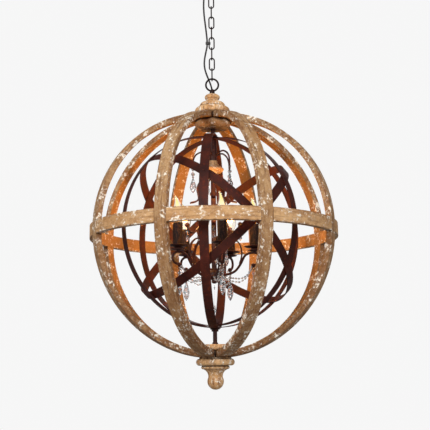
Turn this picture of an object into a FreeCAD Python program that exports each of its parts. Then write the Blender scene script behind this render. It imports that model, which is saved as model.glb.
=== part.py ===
import FreeCAD, Part
import math
import os

# Orb chandelier: a wooden orb of eight ribs and a band, an orb of riveted iron straps inside it,
# and a five-arm candle chandelier in the middle, hung by a ring and a chain from a ceiling canopy.
#
# The parts are drawn about the centre of the wooden orb, +Z up, and moved down when they are saved,
# so that the saved origin is the middle of the canopy's face on the ceiling.
# Azimuths are in degrees from +X towards +Y. The front of the chandelier faces -Y.

V = FreeCAD.Vector
UP = V(0, 0, 1)
FRONT_AZIMUTH = -90.0

# ---- clearances, in millimetres ----
slip_gap = 0.3
hole_gap = 0.3
loop_gap = 0.3

# ---- wooden orb ----
orb_diameter = 620.0
rib_count = 8
rib_width = 30.0
rib_thickness = 15.0
rib_corner = 1.5
band_height = 31.5
mitre_gap = 0.8
seat_gap = 0.1

# ---- turned wood ----
cap_rim_diameter = 90.0
cap_rim_height = 17.0
cap_tier_diameter = 64.0
cap_tier_height = 11.0
cap_neck_diameter = 31.0
cap_knob_diameter = 37.5
cap_height = 55.0
bun_diameter = 92.0
bun_height = 24.0
bun_foot_diameter = 58.0
disc_diameter = 90.0
disc_thickness = 18.0
finial_rim_diameter = 95.0
finial_rim_height = 20.0
finial_bead_diameter = 70.0
finial_bead_height = 8.5
finial_neck_diameter = 36.0
finial_ball_diameter = 40.5
finial_height = 76.0
bell_diameter = 54.0
bell_height = 36.0
bell_neck_diameter = 21.0

# ---- iron orb ----
strap_width = 22.0
strap_thickness = 2.0
strap_shell_gap = 0.4
crown_to_bun = 18.5
base_to_disc = 38.5
strap_tilt = 45.0
rivet_radius = 1.6
rivet_head_radius = 3.4
rivet_head_height = 1.0
# normals of the hoops, outermost first: azimuth and rise above the horizontal
strap_normals = {
    "strap_hoop_front": (-5.4, 0.0),
    "strap_hoop_left": (-63.3, 0.0),
    "strap_hoop_tilted_right": (24.1, strap_tilt),
    "strap_hoop_right": (54.0, 0.0),
    "strap_hoop_tilted_left": (204.1, strap_tilt),
}

# ---- stem, rod and their nuts ----
stem_diameter = 10.0
stem_bore = 6.6
rod_diameter = 10.5
nut_radius = 8.5
nut_height = 5.0
washer_radius = 12.0
washer_thickness = 1.6
sleeve_diameter = 19.0
sleeve_length = 55.4
column_diameter = 13.0
supply_wire_diameter = 5.0

# ---- hanging ring, collar and chain ----
ring_outer_diameter = 37.0
ring_wire = 4.7
collar_diameter = 13.0
collar_height = 13.2
collar_eye_height = 8.2
boss_diameter = 7.0
boss_length = 9.8
boss_rise = 38.0
link_length = 35.5
link_width = 16.2
link_wire = 3.4
link_count = 8

# ---- canopy and ceiling fitting ----
loop_wire = 4.4
loop_diameter = 18.4
loop_neck = 6.4
canopy_diameter = 120.0
canopy_height = 28.0
canopy_flat_diameter = 56.0
canopy_rim = 4.0
canopy_wall = 1.4
bracket_length = 94.0
bracket_width = 20.0
bracket_thickness = 2.5
ceiling_screw_spacing = 70.0
ceiling_screw_radius = 2.5
nipple_diameter = 9.6
nipple_flange_radius = 8.0
nipple_flange_height = 5.0
grip_offset = -19.0
grip_diameter = 11.0
grip_length = 9.0

# ---- supply cord ----
cord_diameter = 4.4
tie_height = 503.0
tie_thickness = 6.0
tie_wall = 1.6

# ---- chandelier ----
arm_count = 5
arm_azimuth = FRONT_AZIMUTH + 11.5
crown_azimuth = FRONT_AZIMUTH - 90.0
cage_azimuth = crown_azimuth + 17.5
hub_height = -104.0
hub_diameter = 42.0
hub_depth = 23.0
arm_diameter = 6.0
candle_circle_radius = 102.0
arm_top_height = -51.0
arm_ball_diameter = 11.0
scroll_width = 7.0
scroll_thickness = 3.5
cage_width = 11.0
cage_thickness = 4.0
cage_drop_gap = 0.3
cage_foot_flare = 18.0
column_ring_drop = 49.7
column_ring_spacing = 42.0
ball_scroll_reach = 69.5
ball_scroll_fall = 40.0
ball_scroll_ball_diameter = 12.0
nipple_stub_diameter = 8.0
cup_diameter = 35.0
cup_height = 8.6
pan_diameter = 53.0
pan_thickness = 1.8
pan_rim_rise = 3.0
candle_diameter = 25.0
candle_wall = 1.6
candle_length = 56.0
socket_diameter = 21.2
socket_length = 50.0
socket_bore = 14.6
bulb_cap_diameter = 14.0
bulb_cap_length = 27.0
bulb_diameter = 32.0
bulb_length = 104.0

# ---- crown and crystals ----
hook_wire = 4.2
hook_circle_radius = 51.5
hook_drop = 33.7
hook_fall = 43.0
eye_radius = 3.0
eye_wire = 1.6
drop_ring_wire = 1.2
drop_pin_diameter = 1.0
bead_bore_gap = 0.15
crown_bead_diameter = 10.0
crown_small_bead_diameter = 5.6
crown_drop_diameter = 13.5
crown_drop_length = 38.0
arm_bead_diameter = 10.0
arm_small_bead_diameter = 6.0
arm_drop_diameter = 15.0
arm_drop_length = 48.0
garland_wire = 1.2
garland_bead_diameter = 6.0
garland_bead_count = 9
garland_spread = 4.2

# ---- sizes worked out from the ones above ----
orb_radius = orb_diameter / 2
rib_inner_radius = orb_radius - rib_thickness
lap_radius = orb_radius - rib_thickness / 2
half_sector = 180.0 / rib_count
first_rib_azimuth = FRONT_AZIMUTH - half_sector
rib_outer_seat = math.hypot(orb_radius, rib_width / 2) + seat_gap
rib_inner_seat = rib_inner_radius - slip_gap
stem_radius = stem_diameter / 2
rod_radius = rod_diameter / 2
pole_bore = max(stem_radius, rod_radius) + hole_gap
hoop_crown = rib_inner_seat - bun_height - crown_to_bun
hoop_base = -rib_inner_seat + disc_thickness + base_to_disc
strap_orb_radius = (hoop_crown - hoop_base) / 2
strap_orb_height = (hoop_crown + hoop_base) / 2
strap_pitch = strap_thickness + strap_shell_gap
strap_names = list(strap_normals)
upright_names = [name for name in strap_names if strap_normals[name][1] == 0.0]
innermost_upright_radius = strap_orb_radius - strap_pitch * strap_names.index(upright_names[-1])
clamp_radius = innermost_upright_radius - strap_thickness
cap_top = orb_radius + cap_height
collar_top = cap_top + collar_height
ring_radius = (ring_outer_diameter - ring_wire) / 2
ring_bottom = cap_top + collar_eye_height
ring_centre = ring_bottom + ring_radius
ring_top = ring_centre + ring_radius
stem_top = ring_bottom - ring_wire / 2 - loop_gap - 1.0
link_radius = (link_width - link_wire) / 2
link_straight = link_length - link_width
link_pitch = link_length - 2 * link_wire - loop_gap
first_link_bottom = ring_top - ring_wire / 2 - link_wire / 2 - loop_gap
last_link_top = first_link_bottom + link_length - link_wire + link_pitch * (link_count - 1)
loop_radius = (loop_diameter - loop_wire) / 2
loop_bottom = last_link_top - link_wire / 2 - loop_wire / 2 - loop_gap
loop_centre = loop_bottom + loop_radius
canopy_bottom = loop_centre + loop_radius + loop_neck
ceiling = canopy_bottom + canopy_height
canopy_radius = canopy_diameter / 2
sleeve_top = strap_orb_height + clamp_radius - slip_gap
sleeve_bottom = sleeve_top - sleeve_length
hook_top_height = sleeve_top - hook_drop
hook_eye_height = hook_top_height - hook_fall
bell_top_height = sleeve_bottom - slip_gap
column_top = bell_top_height - bell_height - slip_gap
column_radius = column_diameter / 2
column_ring_high = column_top - column_ring_drop
column_ring_low = column_ring_high - column_ring_spacing
cage_belly_radius = hook_circle_radius - crown_drop_diameter / 2 - cage_drop_gap - cage_thickness / 2
hub_radius = hub_diameter / 2
hub_top = hub_height + hub_depth * 0.45
hub_bottom = hub_height - hub_depth * 0.55
stem_bottom = hub_bottom - nut_height
arm_radius = arm_diameter / 2
arm_crest = arm_top_height + arm_radius
cup_bottom = arm_crest + slip_gap
cup_top = cup_bottom + cup_height
pan_bottom = cup_top + slip_gap
pan_top = pan_bottom + pan_thickness
candle_bottom = pan_top + slip_gap
candle_top = candle_bottom + candle_length
stub_radius = nipple_stub_diameter / 2
stub_top = candle_bottom + 5.0
socket_top = candle_bottom + socket_length
bulb_bottom = socket_top - bulb_cap_length - 1.0
arm_ball_centre = V(candle_circle_radius - 4.0, 0, arm_top_height - 32.0)
arm_eye_height = arm_ball_centre.z - arm_ball_diameter / 2 - eye_radius + eye_wire / 2
grip_bottom = canopy_bottom - grip_length
tie_offset = link_radius + link_wire / 2 + tie_wall + cord_diameter / 2 + 2 * hole_gap - 0.8
cord_radius = cord_diameter / 2
tie_x = -tie_offset

# routes of the supply cord about the orb's centre, from the collar's boss to the tie and on to the grip
boss_direction = V(0, math.cos(math.radians(boss_rise)), math.sin(math.radians(boss_rise)))
boss_end = V(0, 0, cap_top + 3.6) + boss_direction * boss_length
cord_lower_route = [
    boss_end,
    boss_end + boss_direction * 6.5,
    V(-0.9, 17.2, 384.0),
    V(-2.9, 18.2, 393.5),
    V(-6.6, 16.8, 403.5),
    V(-11.2, 13.6, 414.5),
    V(-15.9, 10.2, 426.0),
    V(-19.0, 7.2, 438.0),
    V(-19.9, 4.8, 450.5),
    V(-18.6, 3.0, 463.5),
    V(-15.8, 1.4, 476.5),
    V(tie_x - 1.4, 0.25, 488.5),
    V(tie_x, 0, 496.0),
    V(tie_x, 0, tie_height),
]
cord_upper_route = [
    V(tie_x, 0, tie_height),
    V(tie_x, 0, 512.0),
    V(tie_x - 1.3, 0.6, 526.0),
    V(-15.2, 1.8, 548.0),
    V(-18.4, 2.6, 575.0),
    V(-20.2, 1.6, 602.0),
    V(grip_offset - 0.4, 0.3, 622.0),
    V(grip_offset, 0, 632.0),
    V(grip_offset, 0, grip_bottom),
]


class Outline:
    """A closed outline in the plane of radius and height, drawn edge by edge."""

    def __init__(self, radius, height):
        self.first = V(radius, 0, height)
        self.here = self.first
        self.edges = []

    def line(self, radius, height):
        there = V(radius, 0, height)
        self.edges.append(Part.LineSegment(self.here, there).toShape())
        self.here = there
        return self

    def arc(self, middle_radius, middle_height, radius, height):
        there = V(radius, 0, height)
        middle = V(middle_radius, 0, middle_height)
        self.edges.append(Part.Arc(self.here, middle, there).toShape())
        self.here = there
        return self

    def bow(self, radius, height, rise):
        """An arc to a point, whose middle stands rise to the right of the straight way there."""
        there = V(radius, 0, height)
        way = there - self.here
        side = V(way.z, 0, -way.x).normalize()
        middle = (self.here + there) * 0.5 + side * rise
        return self.arc(middle.x, middle.z, radius, height)

    def dome(self, rise):
        """A quarter of a circle about the axis, from the rim to the axis: up if rise is 1, down if -1."""
        rim = self.here.x
        share = math.sqrt(0.5)
        middle = self.here.z + rise * rim * share
        return self.arc(rim * share, middle, 0, self.here.z + rise * rim)

    def turned(self):
        """The outline closed by a straight edge if it is open, and turned round the upright axis."""
        if (self.here - self.first).Length > 1e-6:
            self.line(self.first.x, self.first.z)
        face = Part.Face(Part.Wire(self.edges))
        return face.revolve(V(0, 0, 0), UP, 360)


def sphere_height(ball_radius, radius):
    return math.sqrt(ball_radius**2 - radius**2)


def pipe_between(radius, bottom, top, bore=0.0):
    body = Part.makeCylinder(radius, top - bottom, V(0, 0, bottom))
    if bore > 0:
        body = body.cut(Part.makeCylinder(bore, top - bottom + 2, V(0, 0, bottom - 1)))
    return body


def turn_about_z(shape, azimuth):
    moved = shape.copy()
    moved.rotate(V(0, 0, 0), UP, azimuth)
    return moved


def place_at(shape, radius, azimuth):
    moved = shape.copy()
    moved.translate(V(radius, 0, 0))
    moved.rotate(V(0, 0, 0), UP, azimuth)
    return moved


def spread(shape, count, azimuth):
    step = 360.0 / count
    return Part.makeCompound([turn_about_z(shape, azimuth + step * i) for i in range(count)])


def direction(azimuth, rise=0.0):
    a = math.radians(azimuth)
    e = math.radians(rise)
    return V(math.cos(e) * math.cos(a), math.cos(e) * math.sin(a), math.sin(e))


def rounded_runs(points, share=0.45):
    """Straight runs joined by tangent arcs: a list of (start, middle or None, end) and the least radius."""
    pieces = []
    here = points[0]
    least = 1e9
    for before, corner, after in zip(points, points[1:], points[2:]):
        way_in = (corner - before).normalize()
        way_out = (after - corner).normalize()
        half_turn = way_in.getAngle(way_out) / 2
        reach = share * min((corner - before).Length, (after - corner).Length)
        radius = reach / math.tan(half_turn)
        least = min(least, radius)
        start = corner - way_in * reach
        end = corner + way_out * reach
        to_centre = (way_out - way_in).normalize()
        middle = corner + to_centre * (radius / math.cos(half_turn) - radius)
        pieces.append((here, None, start))
        pieces.append((start, middle, end))
        here = end
    pieces.append((here, None, points[-1]))
    return pieces, least


def run_edge(piece):
    start, middle, end = piece
    if middle is None:
        return Part.LineSegment(start, end).toShape()
    return Part.Arc(start, middle, end).toShape()


def rod_along(points, radius, share=0.45):
    """A round rod along straight runs and tangent arcs."""
    pieces, least = rounded_runs(points, share)
    path = Part.Wire([run_edge(piece) for piece in pieces])
    way = (points[1] - points[0]).normalize()
    section = Part.Wire([Part.makeCircle(radius, points[0], way)])
    return path.makePipeShell([section], True, False), path.Length, least


def strip_along(points, thickness, width, share=0.45):
    """A flat bar bent in the plane of radius and height, its width across that plane."""
    pieces, least = rounded_runs(points, share)

    def side_of(way):
        return V(-way.z, 0, way.x).normalize() * (thickness / 2)

    def beside(piece, sign):
        start, middle, end = piece
        if middle is None:
            side = side_of(end - start) * sign
            return (start + side, None, end + side)
        return None

    edges = []
    for sign in (1, -1):
        rails = [beside(piece, sign) for piece in pieces]
        for index, (start, middle, end) in enumerate(pieces):
            if middle is not None:
                side = side_of(end - start) * sign
                rails[index] = (rails[index - 1][2], middle + side, rails[index + 1][0])
        edges.append(rails)
    left, right = edges
    loop = [run_edge(rail) for rail in left]
    loop.append(Part.LineSegment(left[-1][2], right[-1][2]).toShape())
    for start, middle, end in reversed(right):
        loop.append(run_edge((end, middle, start)))
    loop.append(Part.LineSegment(right[0][0], left[0][0]).toShape())
    face = Part.Face(Part.Wire(loop))
    face.translate(V(0, -width / 2, 0))
    return face.extrude(V(0, width, 0))


def plane_points(*pairs):
    return [V(radius, 0, height) for radius, height in pairs]


def drill(shape, start, way, radius, length):
    return shape.cut(Part.makeCylinder(radius, length, start, way))


def fused(*shapes):
    body = shapes[0].multiFuse(list(shapes[1:]))
    return body.removeSplitter()


# ---- wooden orb ----


def rib(index):
    """A half hoop from pole to pole, mitred to its neighbours and notched for the band."""
    outer = orb_radius
    inner = rib_inner_radius
    half = rib_width / 2
    c = rib_corner
    d = c * (1 - math.sqrt(0.5))
    section = [
        Part.LineSegment(V(inner + c, -half, 0), V(outer - c, -half, 0)).toShape(),
        Part.Arc(V(outer - c, -half, 0), V(outer - d, -half + d, 0), V(outer, -half + c, 0)).toShape(),
        Part.LineSegment(V(outer, -half + c, 0), V(outer, half - c, 0)).toShape(),
        Part.Arc(V(outer, half - c, 0), V(outer - d, half - d, 0), V(outer - c, half, 0)).toShape(),
        Part.LineSegment(V(outer - c, half, 0), V(inner + c, half, 0)).toShape(),
        Part.Arc(V(inner + c, half, 0), V(inner + d, half - d, 0), V(inner, half - c, 0)).toShape(),
        Part.LineSegment(V(inner, half - c, 0), V(inner, -half + c, 0)).toShape(),
        Part.Arc(V(inner, -half + c, 0), V(inner + d, -half + d, 0), V(inner + c, -half, 0)).toShape(),
    ]
    hoop = Part.Face(Part.Wire(section)).revolve(V(0, 0, 0), V(0, 1, 0), 360)
    tan_half = math.tan(math.radians(half_sector))
    apex = mitre_gap / 2 / math.sin(math.radians(half_sector))
    reach = outer + 10
    corners = [V(apex, 0, 0), V(reach, -(reach - apex) * tan_half, 0), V(reach, (reach - apex) * tan_half, 0)]
    wedge = Part.Face(Part.makePolygon(corners + corners[:1])).extrude(V(0, 0, 2 * reach))
    wedge.translate(V(0, 0, -reach))
    body = hoop.common(wedge)
    body = body.cut(Part.makeCylinder(pole_bore, 2 * reach, V(0, 0, -reach)))
    notch_height = band_height + 2 * seat_gap
    notch = Part.makeCylinder(lap_radius, notch_height, V(0, 0, -notch_height / 2))
    body = body.cut(notch)
    return turn_about_z(body, first_rib_azimuth + index * 2 * half_sector)


def equator_band():
    """The flat hoop round the equator, halved where each rib crosses it."""
    ring = pipe_between(orb_radius, -band_height / 2, band_height / 2, rib_inner_radius)
    shell = pipe_between(orb_radius + 2, -band_height, band_height, lap_radius - seat_gap)
    block = Part.makeBox(orb_radius, rib_width + 2 * seat_gap, 2 * band_height)
    block.translate(V(10, -rib_width / 2 - seat_gap, -band_height))
    notch = shell.common(block)
    notches = [turn_about_z(notch, first_rib_azimuth + i * 2 * half_sector) for i in range(rib_count)]
    return ring.cut(Part.makeCompound(notches))


# ---- turned wood ----


def top_cap():
    bore = pole_bore
    rim = cap_rim_diameter / 2
    root = rim - cap_rim_height * 0.4
    tier = cap_tier_diameter / 2
    tier_root = tier - cap_tier_height * 0.4
    neck = cap_neck_diameter / 2
    knob = cap_knob_diameter / 2
    rim_bottom = sphere_height(rib_outer_seat, root)
    rim_top = rim_bottom + cap_rim_height
    tier_top = rim_top + cap_tier_height
    neck_height = tier_top + (cap_top - tier_top) * 0.28
    shoulder = cap_top - 2.5
    half = root / 2
    seat = Outline(bore, sphere_height(rib_outer_seat, bore))
    seat.arc(half, sphere_height(rib_outer_seat, half), root, rim_bottom)
    seat.arc(rim, rim_bottom + cap_rim_height * 0.45, root, rim_top)
    seat.line(tier_root, rim_top + 1.0)
    seat.arc(tier, rim_top + cap_tier_height * 0.5, tier_root, tier_top)
    seat.bow(neck, neck_height, -2.0)
    seat.arc(knob, (neck_height + shoulder) / 2, knob * 0.72, shoulder)
    seat.bow(stem_radius + 1.5, cap_top, 0.8)
    seat.line(bore, cap_top)
    return seat.turned()


def top_bun():
    root = bun_diameter / 2 - bun_height * 0.33
    top = sphere_height(rib_inner_seat, root)
    bottom = rib_inner_seat - bun_height
    foot = bun_foot_diameter / 2
    body = Outline(pole_bore, sphere_height(rib_inner_seat, pole_bore))
    body.line(pole_bore, bottom)
    body.line(foot, bottom)
    body.arc(bun_diameter / 2 - 2.2, bottom + bun_height * 0.3, bun_diameter / 2, bottom + bun_height * 0.55)
    body.bow(root, top, 1.8)
    half = root / 2
    body.arc(half, sphere_height(rib_inner_seat, half), pole_bore, sphere_height(rib_inner_seat, pole_bore))
    return body.turned()


def bottom_disc():
    edge = disc_diameter / 2
    root = edge - 4.0
    top = -rib_inner_seat + disc_thickness
    low = -sphere_height(rib_inner_seat, root)
    body = Outline(pole_bore, top)
    body.line(root, top)
    body.arc(edge, (top + low) / 2, root, low)
    half = root / 2
    body.arc(half, -sphere_height(rib_inner_seat, half), pole_bore, -sphere_height(rib_inner_seat, pole_bore))
    return body.turned()


def finial():
    rim = finial_rim_diameter / 2
    root = rim - 8.0
    bead = finial_bead_diameter / 2
    neck = finial_neck_diameter / 2
    ball = finial_ball_diameter / 2
    seat = -sphere_height(rib_outer_seat, root)
    rim_bottom = seat - finial_rim_height
    bead_root = bead - finial_bead_height / 2
    bead_bottom = rim_bottom - finial_bead_height
    tip = -orb_radius - finial_height
    ball_centre = tip + ball
    waist = sphere_height(ball, neck)
    half_turn = math.atan2(waist, neck) / 2
    bore_top = -sphere_height(rib_outer_seat, pole_bore)
    bore_bottom = rod_bottom - 1.0
    body = Outline(pole_bore, bore_top)
    body.arc(root / 2, -sphere_height(rib_outer_seat, root / 2), root, seat)
    body.line(root, seat - 3.0)
    body.arc(rim, (seat - 3.0 + rim_bottom) / 2, root, rim_bottom)
    body.line(bead_root, rim_bottom)
    body.arc(bead, (rim_bottom + bead_bottom) / 2, bead_root, bead_bottom)
    body.bow(neck, ball_centre + waist, 4.5)
    body.arc(ball * math.cos(half_turn), ball_centre + ball * math.sin(half_turn), ball, ball_centre)
    body.dome(-1)
    body.line(0, bore_bottom)
    body.line(pole_bore, bore_bottom)
    return body.turned()


rod_bottom = -orb_radius - finial_rim_height - finial_bead_height - 4.0


def wood_bell():
    bore = stem_radius + hole_gap
    top = bell_top_height
    bottom = top - bell_height
    wide = bell_diameter / 2
    neck = bell_neck_diameter / 2
    body = Outline(bore, top)
    body.line(bore, bottom)
    body.line(neck * 0.85, bottom)
    body.bow(wide * 0.93, top - bell_height * 0.72, 0.8)
    body.bow(wide, top - bell_height * 0.63, 0.4)
    body.bow(wide * 0.94, top - bell_height * 0.54, 0.6)
    body.bow(neck * 1.08, top - bell_height * 0.14, -1.6)
    body.bow(neck, top, 0.3)
    return body.turned()


# ---- iron orb ----


def strap_radius_of(name):
    return strap_orb_radius - strap_pitch * strap_names.index(name)


def strap_normal_of(name):
    azimuth, rise = strap_normals[name]
    return direction(azimuth, rise)


def rivet_places():
    """Each crossing of two hoops away from the poles: its direction and the two radii there."""
    places = []
    for i, one in enumerate(strap_names):
        for other in strap_names[i + 1 :]:
            if one in upright_names and other in upright_names:
                continue
            way = strap_normal_of(one).cross(strap_normal_of(other)).normalize()
            for sign in (1, -1):
                places.append((way * sign, one, other))
    return places


def strap_hoop(name):
    outer = strap_radius_of(name)
    inner = outer - strap_thickness
    hoop = pipe_between(outer, -strap_width / 2, strap_width / 2, inner)
    hoop.Placement = FreeCAD.Placement(V(0, 0, 0), FreeCAD.Rotation(UP, strap_normal_of(name)))
    for way, one, other in rivet_places():
        if name in (one, other):
            hoop = drill(hoop, way * (inner - 5), way, rivet_radius + hole_gap / 3, 12)
    if name in upright_names:
        hoop = hoop.cut(Part.makeCylinder(pole_bore, 4 * outer, V(0, 0, -2 * outer)))
    hoop.translate(V(0, 0, strap_orb_height))
    return hoop


def hoop_rivets():
    rivets = []
    edge_rise = math.hypot(strap_orb_radius, rivet_head_radius) - strap_orb_radius + 0.05
    for way, one, other in rivet_places():
        top = strap_radius_of(one) + edge_rise
        bottom = strap_radius_of(other) - strap_thickness - 0.05
        shank = Part.makeCylinder(rivet_radius, top - bottom, way * bottom, way)
        head = Part.makeCylinder(rivet_head_radius, rivet_head_height, way * top, way)
        tail_start = way * (bottom - rivet_head_height)
        tail = Part.makeCylinder(rivet_head_radius, rivet_head_height, tail_start, way)
        rivets.append(fused(shank, head, tail))
    body = Part.makeCompound(rivets)
    body.translate(V(0, 0, strap_orb_height))
    return body


def hex_nut(bottom, height, bore):
    corners = [direction(60.0 * i) * nut_radius + V(0, 0, bottom) for i in range(7)]
    body = Part.Face(Part.makePolygon(corners)).extrude(V(0, 0, height))
    return body.cut(Part.makeCylinder(bore, height + 2, V(0, 0, bottom - 1)))


def washer(bottom, bore):
    return pipe_between(washer_radius, bottom, bottom + washer_thickness, bore)


def stem_nuts():
    """Nuts and washers on the stem and the rod, and the domed nut under the hub."""
    stem_hole = stem_radius + hole_gap / 3
    rod_hole = rod_radius + hole_gap / 3
    crown = hoop_crown + seat_gap
    base = hoop_base - seat_gap
    inside = strap_orb_height - sphere_height(clamp_radius, nut_radius) + seat_gap
    pieces = [
        washer(crown, stem_hole),
        hex_nut(crown + washer_thickness + seat_gap, nut_height, stem_hole),
        washer(base - washer_thickness, rod_hole),
        hex_nut(base - washer_thickness - seat_gap - nut_height, nut_height, rod_hole),
        hex_nut(inside, nut_height, rod_hole),
        foot_nut(-rib_inner_seat + disc_thickness + seat_gap, rod_hole),
        domed_nut(hub_bottom - slip_gap, stem_hole),
    ]
    return Part.makeCompound(pieces)


def foot_nut(bottom, bore):
    top = bottom + 5.0
    body = Outline(bore, bottom)
    body.line(bore, top)
    body.line(bore + 1.4, top)
    body.bow(nut_radius, bottom + 1.0, 0.7)
    body.line(nut_radius, bottom)
    return body.turned()


def domed_nut(top, bore):
    floor = stem_bottom - 0.6
    body = Outline(bore, top)
    body.line(bore, floor)
    body.line(0, floor)
    body.line(0, floor - 4.0)
    body.line(1.6, floor - 4.0)
    body.bow(nut_radius * 0.82, floor + 2.0, 2.0)
    body.line(nut_radius * 0.82, top)
    return body.turned()


def stem_tube():
    tube = pipe_between(stem_radius, stem_bottom, stem_top, stem_bore / 2)
    for i in range(arm_count):
        way = direction(arm_azimuth + 360.0 / arm_count * i)
        tube = drill(tube, V(0, 0, hub_height), way, arm_radius * 0.6, stem_diameter)
    return tube


def supply_wire():
    return pipe_between(supply_wire_diameter / 2, hub_bottom, cap_top + 1.0)


def bottom_rod():
    top = strap_orb_height - clamp_radius + nut_height + 2.0
    return pipe_between(rod_radius, rod_bottom, top)


# ---- hanging hardware ----


def ring_torus(gap=0.0):
    return Part.makeTorus(ring_radius, ring_wire / 2 + gap, V(0, 0, ring_centre), V(0, 1, 0))


def collar_loop():
    """The screwed collar on the stem, its domed eye for the ring, and the boss that the cord comes out of."""
    r = collar_diameter / 2
    dome = Outline(0, cap_top + seat_gap)
    dome.line(r, cap_top + seat_gap)
    dome.line(r, collar_top - r)
    dome.dome(1)
    body = dome.turned()
    boss = Part.makeCylinder(boss_diameter / 2, boss_length, V(0, 0, cap_top + 3.6), boss_direction)
    body = fused(body, boss)
    body = body.cut(ring_torus(loop_gap))
    return body.cut(Part.makeCylinder(stem_radius + hole_gap / 3, stem_top - cap_top, V(0, 0, cap_top)))


def chain_link(index):
    """An oval link: two straight sides and two half rounds, every other link turned a quarter."""
    bottom = first_link_bottom + link_pitch * index
    low = bottom + link_radius
    high = low + link_straight
    r = link_radius
    edges = [
        Part.LineSegment(V(r, 0, low), V(r, 0, high)).toShape(),
        Part.Arc(V(r, 0, high), V(0, 0, high + r), V(-r, 0, high)).toShape(),
        Part.LineSegment(V(-r, 0, high), V(-r, 0, low)).toShape(),
        Part.Arc(V(-r, 0, low), V(0, 0, low - r), V(r, 0, low)).toShape(),
    ]
    section = Part.Wire([Part.makeCircle(link_wire / 2, V(r, 0, low), UP)])
    body = Part.Wire(edges).makePipeShell([section], True, False)
    return turn_about_z(body, 90.0 if index % 2 == 0 else 0.0)


def chain_links():
    return Part.makeCompound([chain_link(i) for i in range(link_count)])


def cord_tie():
    """A small clip that holds the cord beside one side of a chain link."""
    wire_x = -link_radius
    left = tie_x - cord_radius - hole_gap - tie_wall
    right = wire_x + link_wire / 2 + hole_gap + tie_wall
    half = cord_radius + hole_gap + tie_wall
    bottom = tie_height - tie_thickness / 2
    body = Part.makeBox(right - left, 2 * half, tie_thickness, V(left, -half, bottom))
    upright = [edge for edge in body.Edges if abs(edge.tangentAt(0).z) > 0.9]
    body = body.makeFillet(half * 0.8, upright)
    body = drill(body, V(tie_x, 0, bottom - 1), UP, cord_radius, tie_thickness + 2)
    body = drill(body, V(tie_x, 0, tie_height), UP, cord_radius + hole_gap / 3, tie_thickness)
    return drill(body, V(wire_x, 0, bottom - 1), UP, link_wire / 2 + hole_gap, tie_thickness + 2)


def cord_along(points, name):
    body, length, least = rod_along(points, cord_radius)
    wanted = math.pi * cord_radius**2 * length
    print(f"{name}: length {length:.1f}, least radius {least:.1f}, volume off {body.Volume / wanted - 1:.5f}")
    return body


# ---- canopy and ceiling fitting ----


def canopy():
    """A spun dome with an even wall, open towards the ceiling."""
    flat = canopy_flat_diameter / 2
    t = canopy_wall
    rim_bottom = ceiling - canopy_rim
    rise = 6.0
    body = Outline(nipple_diameter / 2 + hole_gap, canopy_bottom)
    body.line(flat, canopy_bottom)
    body.bow(canopy_radius, rim_bottom, rise)
    body.line(canopy_radius, ceiling)
    body.line(canopy_radius - t, ceiling)
    body.line(canopy_radius - t, rim_bottom + t * 0.4)
    body.bow(flat - t * 0.4, canopy_bottom + t, -rise)
    body.line(nipple_diameter / 2 + hole_gap, canopy_bottom + t)
    shell = body.turned()
    return drill(shell, V(grip_offset, 0, canopy_bottom - 1), UP, cord_radius + 1.2, t + 2)


def canopy_bracket():
    bottom = ceiling - bracket_thickness
    bar = Part.makeBox(bracket_length, bracket_width, bracket_thickness)
    bar.translate(V(-bracket_length / 2, -bracket_width / 2, bottom))
    upright = [edge for edge in bar.Edges if abs(edge.tangentAt(0).z) > 0.9]
    bar = bar.makeFillet(bracket_width * 0.3, upright)
    bar = drill(bar, V(0, 0, bottom - 1), UP, nipple_diameter / 2 + hole_gap / 3, bracket_thickness + 2)
    for x in (-ceiling_screw_spacing / 2, ceiling_screw_spacing / 2):
        bar = drill(bar, V(x, 0, bottom - 1), UP, ceiling_screw_radius, bracket_thickness + 2)
    return bar


def canopy_nipple():
    """The threaded nipple of the bracket, with its fixed nut below the bar."""
    bar_bottom = ceiling - bracket_thickness
    corners = [direction(60.0 * i) * nipple_flange_radius for i in range(7)]
    flange = Part.Face(Part.makePolygon(corners)).extrude(V(0, 0, nipple_flange_height))
    flange.translate(V(0, 0, bar_bottom - seat_gap - nipple_flange_height))
    shaft = pipe_between(nipple_diameter / 2, canopy_bottom - loop_neck * 0.6, ceiling - 0.4)
    return fused(shaft, flange)


def canopy_loop():
    """The screwed loop under the canopy that the chain hangs from."""
    neck_radius = nipple_diameter / 2 + 2.6
    ring = Part.makeTorus(loop_radius, loop_wire / 2, V(0, 0, loop_centre), V(1, 0, 0))
    neck = Outline(0, loop_centre + loop_radius - loop_wire * 0.4)
    neck.line(neck_radius * 0.75, loop_centre + loop_radius - loop_wire * 0.4)
    neck.bow(neck_radius, canopy_bottom - 2.4, 0.6)
    neck.line(neck_radius, canopy_bottom - seat_gap)
    neck.line(0, canopy_bottom - seat_gap)
    body = fused(neck.turned(), ring)
    bore_bottom = canopy_bottom - loop_neck * 0.6 - 0.4
    return body.cut(pipe_between(nipple_diameter / 2 + hole_gap / 3, bore_bottom, canopy_bottom))


def cord_grip():
    """The strain relief where the cord goes into the canopy."""
    wide = grip_diameter / 2
    body = Outline(cord_radius, grip_bottom + 3.0)
    body.line(cord_radius, canopy_bottom - seat_gap)
    body.line(wide, canopy_bottom - seat_gap)
    body.line(wide, canopy_bottom - 3.0)
    body.bow(cord_radius + 1.2, grip_bottom, -1.0)
    body.line(0, grip_bottom)
    body.line(0, grip_bottom + 3.0)
    plug = body.turned()
    plug.translate(V(grip_offset, 0, 0))
    return plug


# ---- chandelier ----


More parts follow.
